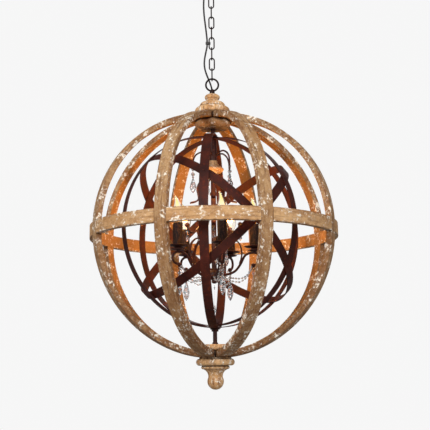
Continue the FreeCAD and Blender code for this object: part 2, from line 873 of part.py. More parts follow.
def crown_hooks():
    """The iron sleeve on the stem and the five wire hooks welded to it, each with an eye for a drop."""
    sleeve = pipe_between(sleeve_diameter / 2, sleeve_bottom, sleeve_top, stem_radius + hole_gap)
    reach = hook_circle_radius
    neck = hook_eye_height + eye_radius
    route = plane_points(
        (sleeve_diameter / 2 - 1.5, hook_top_height - 8.0),
        (sleeve_diameter / 2 + 10.0, hook_top_height - 1.0),
        (reach * 0.62, hook_top_height + 2.0),
        (reach * 0.88, hook_top_height - 6.0),
        (reach * 0.985, hook_top_height - 19.0),
        (reach, neck + 9.0),
        (reach, neck),
    )
    hook, length, least = rod_along(route, hook_wire / 2)
    eye = Part.makeTorus(eye_radius, eye_wire / 2, V(reach, 0, hook_eye_height), V(0, 1, 0))
    one = fused(hook, eye)
    step = 360.0 / arm_count
    return fused(sleeve, *[turn_about_z(one, crown_azimuth + step * i) for i in range(arm_count)])


def centre_column():
    """The spacer tube between the hub and the bell, with turned rings where the scrolls meet it."""
    r = column_radius
    bore = stem_radius + hole_gap
    top = column_top
    body = Outline(bore, hub_top + slip_gap)
    body.line(r + 2.0, hub_top + slip_gap)
    body.bow(r, hub_top + 7.0, 1.0)
    for height in (column_ring_low, column_ring_high):
        body.line(r, height - 5.0)
        body.bow(r, height + 5.0, 3.0)
    body.line(r, top - 6.0)
    body.bow(r + 3.0, top, 1.0)
    body.line(bore, top)
    return body.turned()


def cage_strap():
    """A flat bar that bellies out under the bell and flares outwards at its foot."""
    start = column_radius + 3.6
    belly = cage_belly_radius
    top = column_top
    route = plane_points(
        (start, top - 4.0),
        (start + 12.0, top - 9.0),
        (belly - 6.5, top - 20.0),
        (belly, top - 38.0),
        (belly - 4.0, top - 54.0),
        (belly - 5.0, top - 64.0),
        (belly + 3.0, top - 71.0),
        (belly + cage_foot_flare, top - 75.0),
    )
    return strip_along(route, cage_thickness, cage_width)


def ball_scroll():
    """A flat bar from the column's lower ring that dips and ends in a ball."""
    start = column_radius + 3.6
    reach = ball_scroll_reach
    height = column_ring_low - ball_scroll_fall
    route = plane_points(
        (start, column_ring_low),
        (start + 9.0, column_ring_low - 1.5),
        (reach - 42.5, height + 20.0),
        (reach - 33.5, height - 1.0),
        (reach - 24.5, height - 14.5),
        (reach - 15.0, height - 19.0),
        (reach - 6.5, height - 15.0),
        (reach - 1.2, height - 3.5),
    )
    bar = strip_along(route, cage_thickness, cage_width)
    return fused(bar, Part.makeSphere(ball_scroll_ball_diameter / 2, V(reach, 0, height), V(0, 1, 0)))


def scroll_straps():
    cage = spread(cage_strap(), arm_count, cage_azimuth)
    balls = spread(ball_scroll(), arm_count, cage_azimuth)
    return Part.makeCompound(cage.Solids + balls.Solids)


def arm_hub():
    """The turned hub that the arms are screwed into."""
    bore = stem_radius + hole_gap
    r = hub_radius
    body = Outline(bore, hub_top)
    body.line(bore, hub_bottom)
    body.line(r * 0.45, hub_bottom)
    body.bow(r * 0.8, hub_bottom + hub_depth * 0.22, 1.0)
    body.bow(r, hub_height - arm_radius - 1.5, 1.0)
    body.line(r, hub_height + arm_radius + 1.0)
    body.bow(r * 0.62, hub_top - 1.5, 1.2)
    body.line(r * 0.5, hub_top)
    hub = body.turned()
    for i in range(arm_count):
        way = direction(arm_azimuth + 360.0 / arm_count * i)
        hub = drill(hub, V(0, 0, hub_height), way, arm_radius + hole_gap / 3, r + 2)
    return hub


def arm_route():
    top = arm_top_height
    reach = candle_circle_radius
    ball = arm_ball_centre
    return plane_points(
        (hub_radius * 0.5, hub_height),
        (hub_radius + 15.0, hub_height),
        (reach - 49.0, hub_height + 7.0),
        (reach - 36.0, hub_height + 24.0),
        (reach - 25.0, top + 9.0 - 15.0),
        (reach - 12.0, top - 0.4),
        (reach + 3.0, top - 0.3),
        (reach + 13.0, top - 6.5),
        (reach + 15.5, top - 18.0),
        (reach + 9.0, top - 28.0),
        (ball.x, ball.z),
    )


def arm(index):
    """An S-shaped arm with its C-scroll, the stub that carries the candle, its end ball and its eye."""
    top = arm_top_height
    reach = candle_circle_radius
    rod, length, least = rod_along(arm_route(), arm_radius)
    scroll = strip_along(
        plane_points(
            (reach - 38.5, top - 28.0),
            (reach - 33.0, top - 12.0),
            (reach - 32.0, top + 6.0),
            (reach - 38.0, top + 25.0),
            (reach - 52.0, top + 37.0),
            (reach - 67.0, top + 35.0),
            (reach - 73.5, top + 25.0),
            (reach - 68.0, top + 17.5),
        ),
        scroll_thickness,
        scroll_width,
    )
    stub = Part.makeCylinder(stub_radius, stub_top - top, V(reach, 0, top))
    ball = Part.makeSphere(arm_ball_diameter / 2, arm_ball_centre, V(0, 1, 0))
    eye_centre = V(arm_ball_centre.x, 0, arm_eye_height)
    eye = Part.makeTorus(eye_radius, eye_wire / 2, eye_centre, V(0, 1, 0))
    whole = fused(rod, scroll, stub, ball, eye)
    return turn_about_z(whole, arm_azimuth + 360.0 / arm_count * index)


def on_candles(shape):
    step = 360.0 / arm_count
    return Part.makeCompound(
        [place_at(shape, candle_circle_radius, arm_azimuth + step * i) for i in range(arm_count)]
    )


def drip_cup():
    rim = cup_diameter / 2
    bore = stub_radius + hole_gap
    body = Outline(bore, cup_bottom)
    body.line(bore + 1.0, cup_bottom)
    body.bow(rim, cup_bottom + 2.2, 0.8)
    body.bow(rim - 1.0, cup_bottom + 3.4, 0.5)
    body.bow(stub_radius + 4.5, cup_top - 1.5, -1.0)
    body.line(stub_radius + 5.5, cup_top)
    body.line(bore, cup_top)
    return on_candles(body.turned())


def drip_pan():
    rim = pan_diameter / 2
    bore = stub_radius + hole_gap
    seat = candle_diameter / 2 + 1.5
    t = pan_thickness
    body = Outline(bore, pan_bottom)
    body.line(seat, pan_bottom)
    body.bow(rim, pan_bottom + pan_rim_rise, 0.8)
    body.bow(rim - t, pan_bottom + pan_rim_rise + t * 0.5, 0.5)
    body.bow(seat, pan_top, -0.8)
    body.line(bore, pan_top)
    return on_candles(body.turned())


def candle_sleeve():
    r = candle_diameter / 2
    return on_candles(pipe_between(r, candle_bottom, candle_top, r - candle_wall))


def lamp_socket():
    r = socket_diameter / 2
    body = pipe_between(r, candle_bottom, socket_top)
    stub_hole = stub_radius + hole_gap / 3
    body = body.cut(pipe_between(stub_hole, candle_bottom - 1, stub_top + 0.4))
    body = body.cut(pipe_between(socket_bore / 2, bulb_bottom - 0.6, socket_top + 1))
    return on_candles(body)


def bulb():
    """A bent-tip candle bulb with its screw cap, drawn straight."""
    cap = bulb_cap_diameter / 2
    wide = bulb_diameter / 2
    base = socket_top + 0.6
    tip = bulb_bottom + bulb_length
    glass = tip - base
    body = Outline(0, bulb_bottom)
    body.line(cap * 0.6, bulb_bottom)
    body.line(cap, bulb_bottom + 4.0)
    body.line(cap, base)
    body.bow(cap * 1.35, base + glass * 0.12, 0.5)
    body.bow(wide, base + glass * 0.38, 1.0)
    body.bow(wide * 0.72, base + glass * 0.64, 1.8)
    body.bow(wide * 0.2, base + glass * 0.9, -0.8)
    body.bow(0.8, tip, 0.5)
    body.line(0, tip)
    return on_candles(body.turned())


# ---- crystals ----


def pendant(eye_height, bead, small_bead, drop_width, drop_length):
    """A hanging drop: a ring through the eye, a pin, two beads and an almond drop, in place below the eye."""
    eye_bottom = eye_height - eye_radius
    ring_centre_height = eye_bottom + (eye_wire + drop_ring_wire) / 2 + loop_gap - eye_radius
    ring_foot = ring_centre_height - eye_radius
    ring = Part.makeTorus(eye_radius, drop_ring_wire / 2, V(0, 0, ring_centre_height), V(1, 0, 0))
    pin_radius = drop_pin_diameter / 2
    bore = pin_radius + bead_bore_gap
    bead_top = ring_foot - drop_ring_wire / 2 - seat_gap
    small_top = bead_top - bead - seat_gap
    drop_top = small_top - small_bead - seat_gap
    pin_end = drop_top - drop_length * 0.25
    pin = fused(ring, pipe_between(pin_radius, pin_end, ring_foot))
    return [
        pin,
        bead_on_pin(bead_top, bead, bore),
        bead_on_pin(small_top, small_bead, bore),
        almond_drop(drop_top, drop_width, drop_length, bore, pin_end - 0.3),
    ]


def bead_on_pin(top, size, bore):
    ball = Part.makeSphere(size / 2, V(0, 0, top - size / 2))
    return ball.cut(Part.makeCylinder(bore, size + 2, V(0, 0, top - size - 1)))


def almond_drop(top, width, length, bore, bore_end):
    wide = width / 2
    neck = bore + 1.1
    body = Outline(bore, top)
    body.line(bore, bore_end)
    body.line(0, bore_end)
    body.line(0, top - length)
    body.line(0.6, top - length)
    body.bow(wide, top - length * 0.66, 1.2)
    body.bow(wide * 0.8, top - length * 0.48, 0.8)
    body.bow(neck, top - length * 0.14, -1.4)
    body.line(neck, top)
    return body.turned()


def crown_drop(index):
    pieces = pendant(
        hook_eye_height,
        crown_bead_diameter,
        crown_small_bead_diameter,
        crown_drop_diameter,
        crown_drop_length,
    )
    azimuth = crown_azimuth + 360.0 / arm_count * index
    return place_at(Part.makeCompound(pieces), hook_circle_radius, azimuth)


def arm_drop(index):
    pieces = pendant(
        arm_eye_height, arm_bead_diameter, arm_small_bead_diameter, arm_drop_diameter, arm_drop_length
    )
    azimuth = arm_azimuth + 360.0 / arm_count * index
    return place_at(Part.makeCompound(pieces), arm_ball_centre.x, azimuth)


def garland(side, sag):
    """A string of beads from the hub to an arm's ball, sagging between them."""
    y = garland_spread * side
    ball_reach = math.sqrt((arm_ball_diameter / 2) ** 2 - y**2)
    start = V(math.sqrt(hub_radius**2 - y**2) + slip_gap, y, hub_height - arm_radius - 1.0)
    end = V(arm_ball_centre.x - ball_reach - 3 * slip_gap, y, arm_ball_centre.z - 0.5)
    low = (start.z + end.z) / 2 - sag
    span = end.x - start.x
    route = [
        start,
        V(start.x + span * 0.12, y * 1.15, start.z - sag * 0.35),
        V(start.x + span * 0.34, y * 1.35, low + sag * 0.12),
        V(start.x + span * 0.58, y * 1.35, low + sag * 0.05),
        V(start.x + span * 0.8, y * 1.2, low + sag * 0.42),
        V(start.x + span * 0.94, y * 1.05, end.z - sag * 0.42),
        end,
    ]
    pieces, least = rounded_runs(route)
    path = Part.Wire([run_edge(piece) for piece in pieces])
    spots = path.discretize(Number=garland_bead_count + 2)
    spots[0] = start
    spots[-1] = end
    wires = []
    for here, there in zip(spots, spots[1:]):
        way = there - here
        wires.append(Part.makeCylinder(garland_wire / 2, way.Length, here, way))
    beads = [Part.makeSphere(garland_bead_diameter / 2, spot, V(0, 1, 0)) for spot in spots[1:-1]]
    return fused(*beads, *wires)


def garlands():
    pair = Part.makeCompound([garland(-1, 26.0), garland(1, 19.0)])
    step = 360.0 / arm_count
    turned = [turn_about_z(pair, arm_azimuth + step * i) for i in range(arm_count)]
    return Part.makeCompound([solid for one in turned for solid in one.Solids])


# ---- saving ----


def save(name, shape):
    """Writes one sub-part, moved so that the origin is the canopy's face on the ceiling."""
    placed = shape.copy()
    placed.translate(V(0, 0, -ceiling))
    solids = placed.Solids
    sound = placed.isValid() and all(solid.Volume > 0 for solid in solids)
    whole = solids[0] if len(solids) == 1 else Part.makeCompound(solids)
    whole.exportStep(os.path.join("parts", name + ".step"))
    print(f"{name}: {len(solids)} solids, volume {sum(s.Volume for s in solids):.0f}, sound {sound}")


def main():
    os.makedirs("parts", exist_ok=True)
    for i in range(rib_count):
        save(f"rib_{i + 1}", rib(i))
    save("equator_band", equator_band())
    save("top_cap", top_cap())
    save("top_bun", top_bun())
    save("bottom_disc", bottom_disc())
    save("finial", finial())
    save("wood_bell", wood_bell())
    for name in strap_names:
        save(name, strap_hoop(name))
    save("hoop_rivets", hoop_rivets())
    save("stem_nuts", stem_nuts())
    save("stem_tube", stem_tube())
    save("supply_wire", supply_wire())
    save("bottom_rod", bottom_rod())
    save("collar_loop", collar_loop())
    save("hanging_ring", ring_torus())
    save("chain_links", chain_links())
    save("cord_tie", cord_tie())
    save("cord_lower", cord_along(cord_lower_route, "cord_lower"))
    save("cord_upper", cord_along(cord_upper_route, "cord_upper"))
    save("canopy", canopy())
    save("canopy_bracket", canopy_bracket())
    save("canopy_nipple", canopy_nipple())
    save("canopy_loop", canopy_loop())
    save("cord_grip", cord_grip())
    save("crown_hooks", crown_hooks())
    save("centre_column", centre_column())
    save("scroll_straps", scroll_straps())
    save("arm_hub", arm_hub())
    for i in range(arm_count):
        save(f"arm_{i + 1}", arm(i))
    save("drip_cups", drip_cup())
    save("drip_pans", drip_pan())
    save("candle_sleeves", candle_sleeve())
    save("lamp_sockets", lamp_socket())
    save("bulbs", bulb())
    save("garlands", garlands())
    for i in range(arm_count):
        save(f"crown_drop_{i + 1}", crown_drop(i))
    for i in range(arm_count):
        save(f"arm_drop_{i + 1}", arm_drop(i))
    print(f"the ceiling is {ceiling:.2f} above the orb's centre")


main()
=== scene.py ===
"""Dresses the orb chandelier: wooden orb, riveted iron hoops, five-arm candle chandelier and crystals."""

import logging
import math
import random
from dataclasses import dataclass
from enum import Enum
from typing import Callable, Iterable, Sequence

import bmesh
import bpy
from mathutils import Matrix, Vector


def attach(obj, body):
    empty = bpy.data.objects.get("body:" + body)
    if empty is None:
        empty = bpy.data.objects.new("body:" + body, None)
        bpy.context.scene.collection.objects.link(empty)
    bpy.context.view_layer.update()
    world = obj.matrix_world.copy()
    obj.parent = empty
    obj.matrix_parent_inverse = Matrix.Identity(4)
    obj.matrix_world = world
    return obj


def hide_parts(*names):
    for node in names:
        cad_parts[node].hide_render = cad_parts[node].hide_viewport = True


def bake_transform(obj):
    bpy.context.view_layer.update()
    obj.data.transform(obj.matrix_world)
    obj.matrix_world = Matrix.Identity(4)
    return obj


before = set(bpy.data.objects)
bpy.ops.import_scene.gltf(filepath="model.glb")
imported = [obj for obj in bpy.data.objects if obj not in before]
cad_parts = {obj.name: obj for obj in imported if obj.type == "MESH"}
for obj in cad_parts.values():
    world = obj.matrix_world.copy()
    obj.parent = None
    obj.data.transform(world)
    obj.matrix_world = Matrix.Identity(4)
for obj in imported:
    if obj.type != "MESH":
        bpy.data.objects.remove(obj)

log = logging.getLogger("chandelier")

Point = tuple[float, float, float]
Colour = tuple[float, float, float]
Flat = tuple[float, float]
Profile = Sequence[Flat]

CEILING = 0.67625
ORB_CENTRE = Vector((0.0, 0.0, -CEILING))
ORB_RADIUS = 0.310
INNER_RADIUS = 0.295
ARM_COUNT = 5
ARM_STEP = 360.0 / ARM_COUNT
ARM_AZIMUTH = -78.5
CROWN_AZIMUTH = -180.0
CAGE_AZIMUTH = -162.5
CANDLE_CIRCLE = 0.102
FACETS = 8
WIRE_SIDES = 8
TINY = 1e-6


def at(x: float, y: float, z: float) -> Vector:
    """Turns millimetres about the orb's centre into metres about the ceiling's."""
    return Vector((x / 1000.0, y / 1000.0, z / 1000.0 - CEILING))


def linear(red: int, green: int, blue: int) -> Colour:
    """Turns a colour as a screen shows it into the renderer's own numbers.

    Args:
        red: the red channel, 0 to 255.
        green: the green channel.
        blue: the blue channel.

    Returns:
        The colour, each channel 0 to 1.
    """

    def one(value: int) -> float:
        """One channel."""
        share = value / 255.0
        return share / 12.92 if share <= 0.04045 else ((share + 0.055) / 1.055) ** 2.4

    return (one(red), one(green), one(blue))


def ray(azimuth: float) -> Vector:
    """The level direction at an azimuth in degrees."""
    turn = math.radians(azimuth)
    return Vector((math.cos(turn), math.sin(turn), 0.0))


# ---- finishes ----


class Bench:
    """A short hand for laying out a material's nodes."""

    def __init__(self, name: str) -> None:
        """Starts a material with its shader and output.

        Args:
            name: the material's name.
        """
        self.material = bpy.data.materials.new(name)
        self.material.use_nodes = True
        self.tree = self.material.node_tree
        self.tree.nodes.clear()
        self.shader = self.tree.nodes.new("ShaderNodeBsdfPrincipled")
        output = self.tree.nodes.new("ShaderNodeOutputMaterial")
        self.tree.links.new(self.shader.outputs[0], output.inputs[0])

    def feed(self, socket: bpy.types.NodeSocket, value: object) -> None:
        """Links a socket, or sets its value.

        Args:
            socket: the input.
            value: another node's output, a number or a tuple.
        """
        if isinstance(value, bpy.types.NodeSocket):
            self.tree.links.new(value, socket)
        elif isinstance(value, tuple) and socket.type == "RGBA":
            socket.default_value = (*value[:3], 1.0)
        else:
            socket.default_value = value

    def node(self, kind: str, *values: object, **settings: object) -> bpy.types.Node:
        """Adds a node.

        Args:
            kind: the node's type without its ShaderNode prefix.
            values: the first inputs' values, None to leave one alone.
            settings: the node's own properties.

        Returns:
            The new node.
        """
        made = self.tree.nodes.new("ShaderNode" + kind)
        for key, value in settings.items():
            setattr(made, key, value)
        for socket, value in zip(made.inputs, values):
            if value is not None:
                self.feed(socket, value)
        return made

    def sums(self, operation: str, *values: object) -> bpy.types.NodeSocket:
        """The result of a Math node."""
        return self.node("Math", *values, operation=operation).outputs[0]

    def local(self) -> bpy.types.NodeSocket:
        """The place on the object, in metres."""
        return self.node("TexCoord").outputs["Object"]

    def stretched(self, vector: object, scale: Point) -> bpy.types.NodeSocket:
        """A vector multiplied axis by axis."""
        return self.node("VectorMath", vector, scale, operation="MULTIPLY").outputs[0]

    def noise(self, vector: object, scale: float, detail: float, rough: float = 0.6) -> bpy.types.NodeSocket:
        """A fractal noise between 0 and 1.

        Args:
            vector: where it is read.
            scale: how many waves a metre has.
            detail: how many octaves.
            rough: how strong the fine octaves are.

        Returns:
            The noise's value.
        """
        made = self.node("TexNoise")
        self.feed(made.inputs["Vector"], vector)
        made.inputs["Scale"].default_value = scale
        made.inputs["Detail"].default_value = detail
        made.inputs["Roughness"].default_value = rough
        return made.outputs[0]

    def step(self, value: object, low: float, high: float) -> bpy.types.NodeSocket:
        """A smooth step: 0 under low, 1 over high."""
        made = self.node("MapRange", value, low, high, 0.0, 1.0, interpolation_type="SMOOTHSTEP")
        return made.outputs[0]

    def mix(self, share: object, first: object, second: object) -> bpy.types.NodeSocket:
        """A colour between two colours.

        Args:
            share: how much of the second is in it, 0 to 1.
            first: the first colour.
            second: the second colour.

        Returns:
            The colour.
        """
        made = self.node("Mix", data_type="RGBA")
        self.feed(made.inputs[0], share)
        self.feed(made.inputs[6], first)
        self.feed(made.inputs[7], second)
        return made.outputs[2]

    def wash(
        self, under: object, pattern: object, low: float, high: float, share: float, over: Colour
    ) -> bpy.types.NodeSocket:
        """Lays one colour over another where a pattern is strong.

        Args:
            under: the colour below.
            pattern: the pattern.
            low: the value under which nothing is laid.
            high: the value from which it is laid fully.
            share: how well it covers, 0 to 1.
            over: the colour that is laid.

        Returns:
            The colour.
        """
        return self.mix(self.sums("MULTIPLY", self.step(pattern, low, high), share), under, over)

    def crevice_shade(self, reach: float, low: float, high: float) -> bpy.types.NodeSocket:
        """Painted shade for grooves and corners, from how deep in one a point lies: 0 in the open, 1 where it
        is darkest.

        Args:
            reach: how far away a wall still darkens a point, in metres.
            low: the openness at which a point is fully dark.
            high: the openness from which it isn't dark at all.

        Returns:
            The strength of the painted shade.
        """
        made = self.node("AmbientOcclusion", samples=5)
        made.inputs["Distance"].default_value = reach
        return self.sums("SUBTRACT", 1.0, self.step(made.outputs["AO"], low, high))

    def bumped(self, height: object, strength: float, distance: float) -> None:
        """Gives the shader a bump.

        Args:
            height: the relief.
            strength: how strongly it shows, 0 to 1.
            distance: how high the relief is, in metres.
        """
        made = self.node("Bump")
        made.inputs["Strength"].default_value = strength
        made.inputs["Distance"].default_value = distance
        self.feed(made.inputs["Height"], height)
        self.feed(self.shader.inputs["Normal"], made.outputs[0])

    def plain(self, **values: object) -> None:
        """Sets the shader's own sockets, named with underscores for spaces."""
        for name, value in values.items():
            self.feed(self.shader.inputs[name.replace("_", " ")], value)


class Grain(Enum):
    """Which way the wood's fibres run."""

    ALONG_RIB = "along a rib, from pole to pole"
    AROUND_BAND = "round the band"
    UPRIGHT = "straight up, as in a turned piece"


@dataclass(frozen=True)
class WeatheredWood:
    """Pale brown wood with rubbed, chipped white paint left in it."""

    name: str
    grain: Grain
    azimuth: float = 0.0
    shift: float = 0.0
    tone: float = 1.0
    bottom_darkening: float = 0.0
    haze: float = 0.24
    streaks: float = 0.75
    base: Colour = linear(198, 150, 100)
    pale: Colour = linear(219, 176, 127)
    brown: Colour = linear(146, 97, 58)
    aged: Colour = linear(120, 78, 48)
    dark: Colour = linear(64, 38, 22)
    inner_glow: Colour = linear(158, 108, 54)
    paint: Colour = linear(241, 231, 214)

    def fibres(self, bench: Bench) -> bpy.types.NodeSocket:
        """Coordinates in metres: along the fibres, across them, and into the wood.

        Args:
            bench: the material in the making.

        Returns:
            The vector.
        """
        centred = bench.node("VectorMath", bench.local(), tuple(-ORB_CENTRE), operation="ADD").outputs[0]
        turned = bench.node("VectorRotate", rotation_type="Z_AXIS")
        bench.feed(turned.inputs["Vector"], centred)
        turned.inputs["Angle"].default_value = -math.radians(self.azimuth)
        parts = bench.node("SeparateXYZ", turned.outputs[0]).outputs
        if self.grain is Grain.UPRIGHT:
            way, across, depth = parts[2], parts[0], parts[1]
        else:
            first, second = (parts[0], parts[2]) if self.grain is Grain.ALONG_RIB else (parts[0], parts[1])
            angle = bench.sums("ARCTAN2", second, first)
            way = bench.sums("MULTIPLY", angle, ORB_RADIUS)
            across = parts[1] if self.grain is Grain.ALONG_RIB else parts[2]
            squares = bench.sums("MULTIPLY_ADD", first, first, bench.sums("MULTIPLY", second, second))
            depth = bench.sums("SQRT", squares)
        shifted = bench.sums("ADD", way, self.shift)
        return bench.node("CombineXYZ", shifted, across, depth).outputs[0]

    def material(self) -> bpy.types.Material:
        """Lays out the finish.

        Returns:
            The material.
        """
        bench = Bench(self.name)
        place = self.fibres(bench)
        fine = bench.noise(bench.stretched(place, (60.0, 420.0, 420.0)), 1.0, 5.0, 0.7)
        pits = bench.noise(bench.stretched(place, (0.7, 1.0, 1.0)), 230.0, 5.0, 0.7)
        rim = 0.0 if self.grain is Grain.UPRIGHT else self.rim(bench, place)
        near = self.nearly_painted(bench, place, rim)
        flecks = bench.step(near, 0.684, 0.716)
        colour = self.bare_wood(bench, place, fine, rim)
        colour = bench.wash(colour, pits, 0.6, 0.7, 0.7, self.dark)
        colour = bench.wash(colour, near, 0.56, 0.71, self.haze, self.paint)
        colour = bench.mix(bench.sums("MULTIPLY", flecks, 0.92), colour, self.paint)
        # Painted shade: grooves, corners and joints are darkened towards the dark colour.
        colour = bench.mix(bench.sums("MULTIPLY", bench.crevice_shade(0.009, 0.35, 0.9), 0.8), colour, self.dark)
        bench.plain(Base_Color=colour, Roughness=0.8, Specular_IOR_Level=0.2)
        relief = bench.sums("MULTIPLY_ADD", fine, 0.35, bench.sums("MULTIPLY", flecks, 0.3))
        relief = bench.sums("MULTIPLY_ADD", bench.step(pits, 0.55, 0.72), -0.45, relief)
        bench.bumped(relief, 0.6, 0.0012)
        return bench.material

    def bare_wood(
        self, bench: Bench, place: bpy.types.NodeSocket, fine: bpy.types.NodeSocket, rim: object
    ) -> bpy.types.NodeSocket:
        """The colour of the wood without its paint: grain, streaks, painted shade along the edges, darkening
        towards the bottom and the painted bulb glow on the inner face.

        Args:
            bench: the material in the making.
            place: the coordinates along and across the fibres.
            fine: the fine grain.
            rim: how near a point is to a long edge.

        Returns:
            The colour.
        """
        brown, aged = self.toned(self.brown), self.toned(self.aged)
        broad = bench.noise(bench.stretched(place, (8.0, 40.0, 40.0)), 1.0, 4.0)
        mottle = bench.noise(place, 62.0, 7.0, 0.72)
        streak = bench.noise(bench.stretched(place, (9.0, 190.0, 190.0)), 1.0, 5.0, 0.65)
        colour = bench.mix(bench.step(broad, 0.34, 0.66), self.toned(self.base), self.toned(self.pale))
        colour = bench.wash(colour, mottle, 0.42, 0.66, 0.55, brown)
        colour = bench.wash(colour, fine, 0.5, 0.76, 0.6, brown)
        colour = bench.wash(colour, streak, 0.52, 0.64, self.streaks, aged)
        # Painted shade: patches along the long edges and side faces are darkened towards the aged colour.
        worn = bench.sums("MULTIPLY", bench.step(mottle, 0.36, 0.6), 0.62)
        colour = bench.mix(bench.sums("MULTIPLY", rim, worn), colour, self.aged)
        # The wood is made darker towards the bottom of the orb.
        darkened = bench.sums("MULTIPLY", self.age(bench), bench.step(mottle, 0.2, 0.6))
        colour = bench.mix(darkened, colour, self.aged)
        if self.grain is Grain.UPRIGHT:
            return colour
        # Painted light: the inner face, which the bulbs light, is tinted orange-brown.
        return bench.mix(bench.sums("MULTIPLY", self.inside(bench, place), 0.8), colour, self.inner_glow)

    def nearly_painted(self, bench: Bench, place: bpy.types.NodeSocket, rim: object) -> bpy.types.NodeSocket:
        """How near a point is to keeping its paint, which stays in crowds of flecks and along the edges.

        Args:
            bench: the material in the making.
            place: the coordinates along and across the fibres.
            rim: how near a point is to a long edge.

        Returns:
            The nearness.
        """
        chips = bench.noise(bench.stretched(place, (0.85, 1.0, 1.0)), 180.0, 7.0, 0.62)
        crowd = bench.noise(place, 44.0, 3.0, 0.5)
        near = bench.sums("MULTIPLY_ADD", bench.step(crowd, 0.42, 0.66), 0.15, chips)
        return bench.sums("MULTIPLY_ADD", rim, 0.035, near)

    def rim(self, bench: Bench, place: bpy.types.NodeSocket) -> bpy.types.NodeSocket:
        """How near a point is to a long edge, where the wood is darkened with painted shade: 1 on the side
        faces.
        """
        across = bench.node("SeparateXYZ", place).outputs[1]
        return bench.step(bench.sums("ABSOLUTE", across), 0.0118, 0.0152)

    def inside(self, bench: Bench, place: bpy.types.NodeSocket) -> bpy.types.NodeSocket:
        """Whether a point is on the inner face, which gets a browner, more orange colour: painted glow of the
        bulbs.
        """
        depth = bench.node("SeparateXYZ", place).outputs[2]
        return bench.sums("SUBTRACT", 1.0, bench.step(depth, INNER_RADIUS + 0.0008, INNER_RADIUS + 0.0026))

    def toned(self, colour: Colour) -> Colour:
        """A colour of the bare wood, as dark as this piece has become."""
        return (colour[0] * self.tone, colour[1] * self.tone, colour[2] * self.tone)

    def age(self, bench: Bench) -> bpy.types.NodeSocket:
        """How much darker the wood is made: more towards the bottom of the orb."""
        height = bench.node("SeparateXYZ", bench.local()).outputs[2]
        return bench.node("MapRange", height, -CEILING + 0.12, -CEILING - 0.16, 0.0, self.bottom_darkening).outputs[0]


@dataclass(frozen=True)
class AgedIron:
    """Dark iron with a thin reddish rust bloom."""

    name: str
    base: Colour = linear(70, 25, 14)
    bloom: Colour = linear(102, 39, 18)
    shade: Colour = linear(46, 16, 11)
    rough: float = 0.56

    def material(self) -> bpy.types.Material:
        """Lays out the finish.

        Returns:
            The material.
        """
        bench = Bench(self.name)
        place = bench.local()
        cloud = bench.noise(place, 26.0, 6.0, 0.62)
        fine = bench.noise(place, 420.0, 4.0, 0.7)
        spots = bench.noise(place, 120.0, 5.0, 0.65)
        colour = bench.mix(bench.step(cloud, 0.34, 0.66), self.shade, self.base)
        colour = bench.wash(colour, spots, 0.52, 0.7, 0.6, self.bloom)
        colour = bench.wash(colour, fine, 0.6, 0.75, 0.35, self.bloom)
        gloss = bench.node("MapRange", spots, 0.3, 0.7, self.rough - 0.1, self.rough + 0.16).outputs[0]
        bench.plain(Base_Color=colour, Roughness=gloss, Specular_IOR_Level=0.2)
        relief = bench.sums("MULTIPLY_ADD", fine, 0.4, spots)
        bench.bumped(relief, 0.3, 0.0005)
        return bench.material


@dataclass(frozen=True)
class CandleBark:
    """A candle dressed to look like charred, dripping wax and bark."""

    name: str
    base: Colour = linear(28, 15, 11)
    ridge: Colour = linear(92, 54, 32)

    def material(self) -> bpy.types.Material:
        """Lays out the finish.

        Returns:
            The material.
        """
        bench = Bench(self.name)
        place = bench.local()
        runs = bench.noise(bench.stretched(place, (1.0, 1.0, 0.18)), 520.0, 5.0, 0.65)
        lumps = bench.noise(place, 170.0, 5.0, 0.6)
        colour = bench.mix(bench.step(runs, 0.5, 0.72), self.base, self.ridge)
        colour = bench.wash(colour, lumps, 0.55, 0.7, 0.5, self.ridge)
        bench.plain(Base_Color=colour, Roughness=0.68, Specular_IOR_Level=0.2)
        bench.bumped(bench.sums("ADD", runs, lumps), 0.7, 0.0012)
        return bench.material


@dataclass(frozen=True)
class CutCrystal:
    """Clear polished crystal with a faint cold or rosy cast inside."""

    name: str
    cold: Colour = linear(168, 188, 196)
    rosy: Colour = linear(224, 192, 182)
    index: float = 1.5

    def material(self) -> bpy.types.Material:
        """Lays out the finish.

        Returns:
            The material.
        """
        bench = Bench(self.name)
        cast = bench.noise(bench.local(), 130.0, 2.0, 0.5)
        colour = bench.mix(bench.step(cast, 0.4, 0.6), self.cold, self.rosy)
        bench.plain(Base_Color=colour, Roughness=0.02, IOR=self.index, Transmission_Weight=1.0)
        return bench.material


@dataclass(frozen=True)
class LampGlass:
    """Thin clear glass of a bulb, barely warm in tint."""

    name: str

    def material(self) -> bpy.types.Material:
        """Lays out the finish.

        Returns:
            The material.
        """
        bench = Bench(self.name)
        seeds = bench.noise(bench.local(), 60.0, 2.0, 0.5)
        colour = bench.mix(seeds, linear(255, 248, 236), linear(255, 253, 246))
        bench.plain(Base_Color=colour, Roughness=0.01, IOR=1.3, Transmission_Weight=1.0)
        return bench.material


@dataclass(frozen=True)
class Flame:
    """The bright heart of a lit bulb: white low down, pale yellow at its tip."""

    name: str
    low: float
    high: float
    heart: Colour = (1.0, 0.95, 0.82)
    tip: Colour = (1.0, 0.86, 0.36)
    strength: float = 1.12

    def material(self) -> bpy.types.Material:
        """Lays out the finish.

        Returns:
            The material.
        """
        bench = Bench(self.name)
        height = bench.node("SeparateXYZ", bench.local()).outputs[2]
        share = bench.node("MapRange", height, self.low, self.high, 0.0, 1.0).outputs[0]
        flicker = bench.noise(bench.local(), 90.0, 3.0, 0.5)
        share = bench.sums("MULTIPLY_ADD", flicker, 0.25, share)
        colour = bench.mix(bench.step(share, 0.5, 0.95), self.heart, self.tip)
        bench.plain(Base_Color=(0.0, 0.0, 0.0), Roughness=1.0, Specular_IOR_Level=0.0)
        bench.plain(Emission_Color=colour, Emission_Strength=self.strength)
        return bench.material


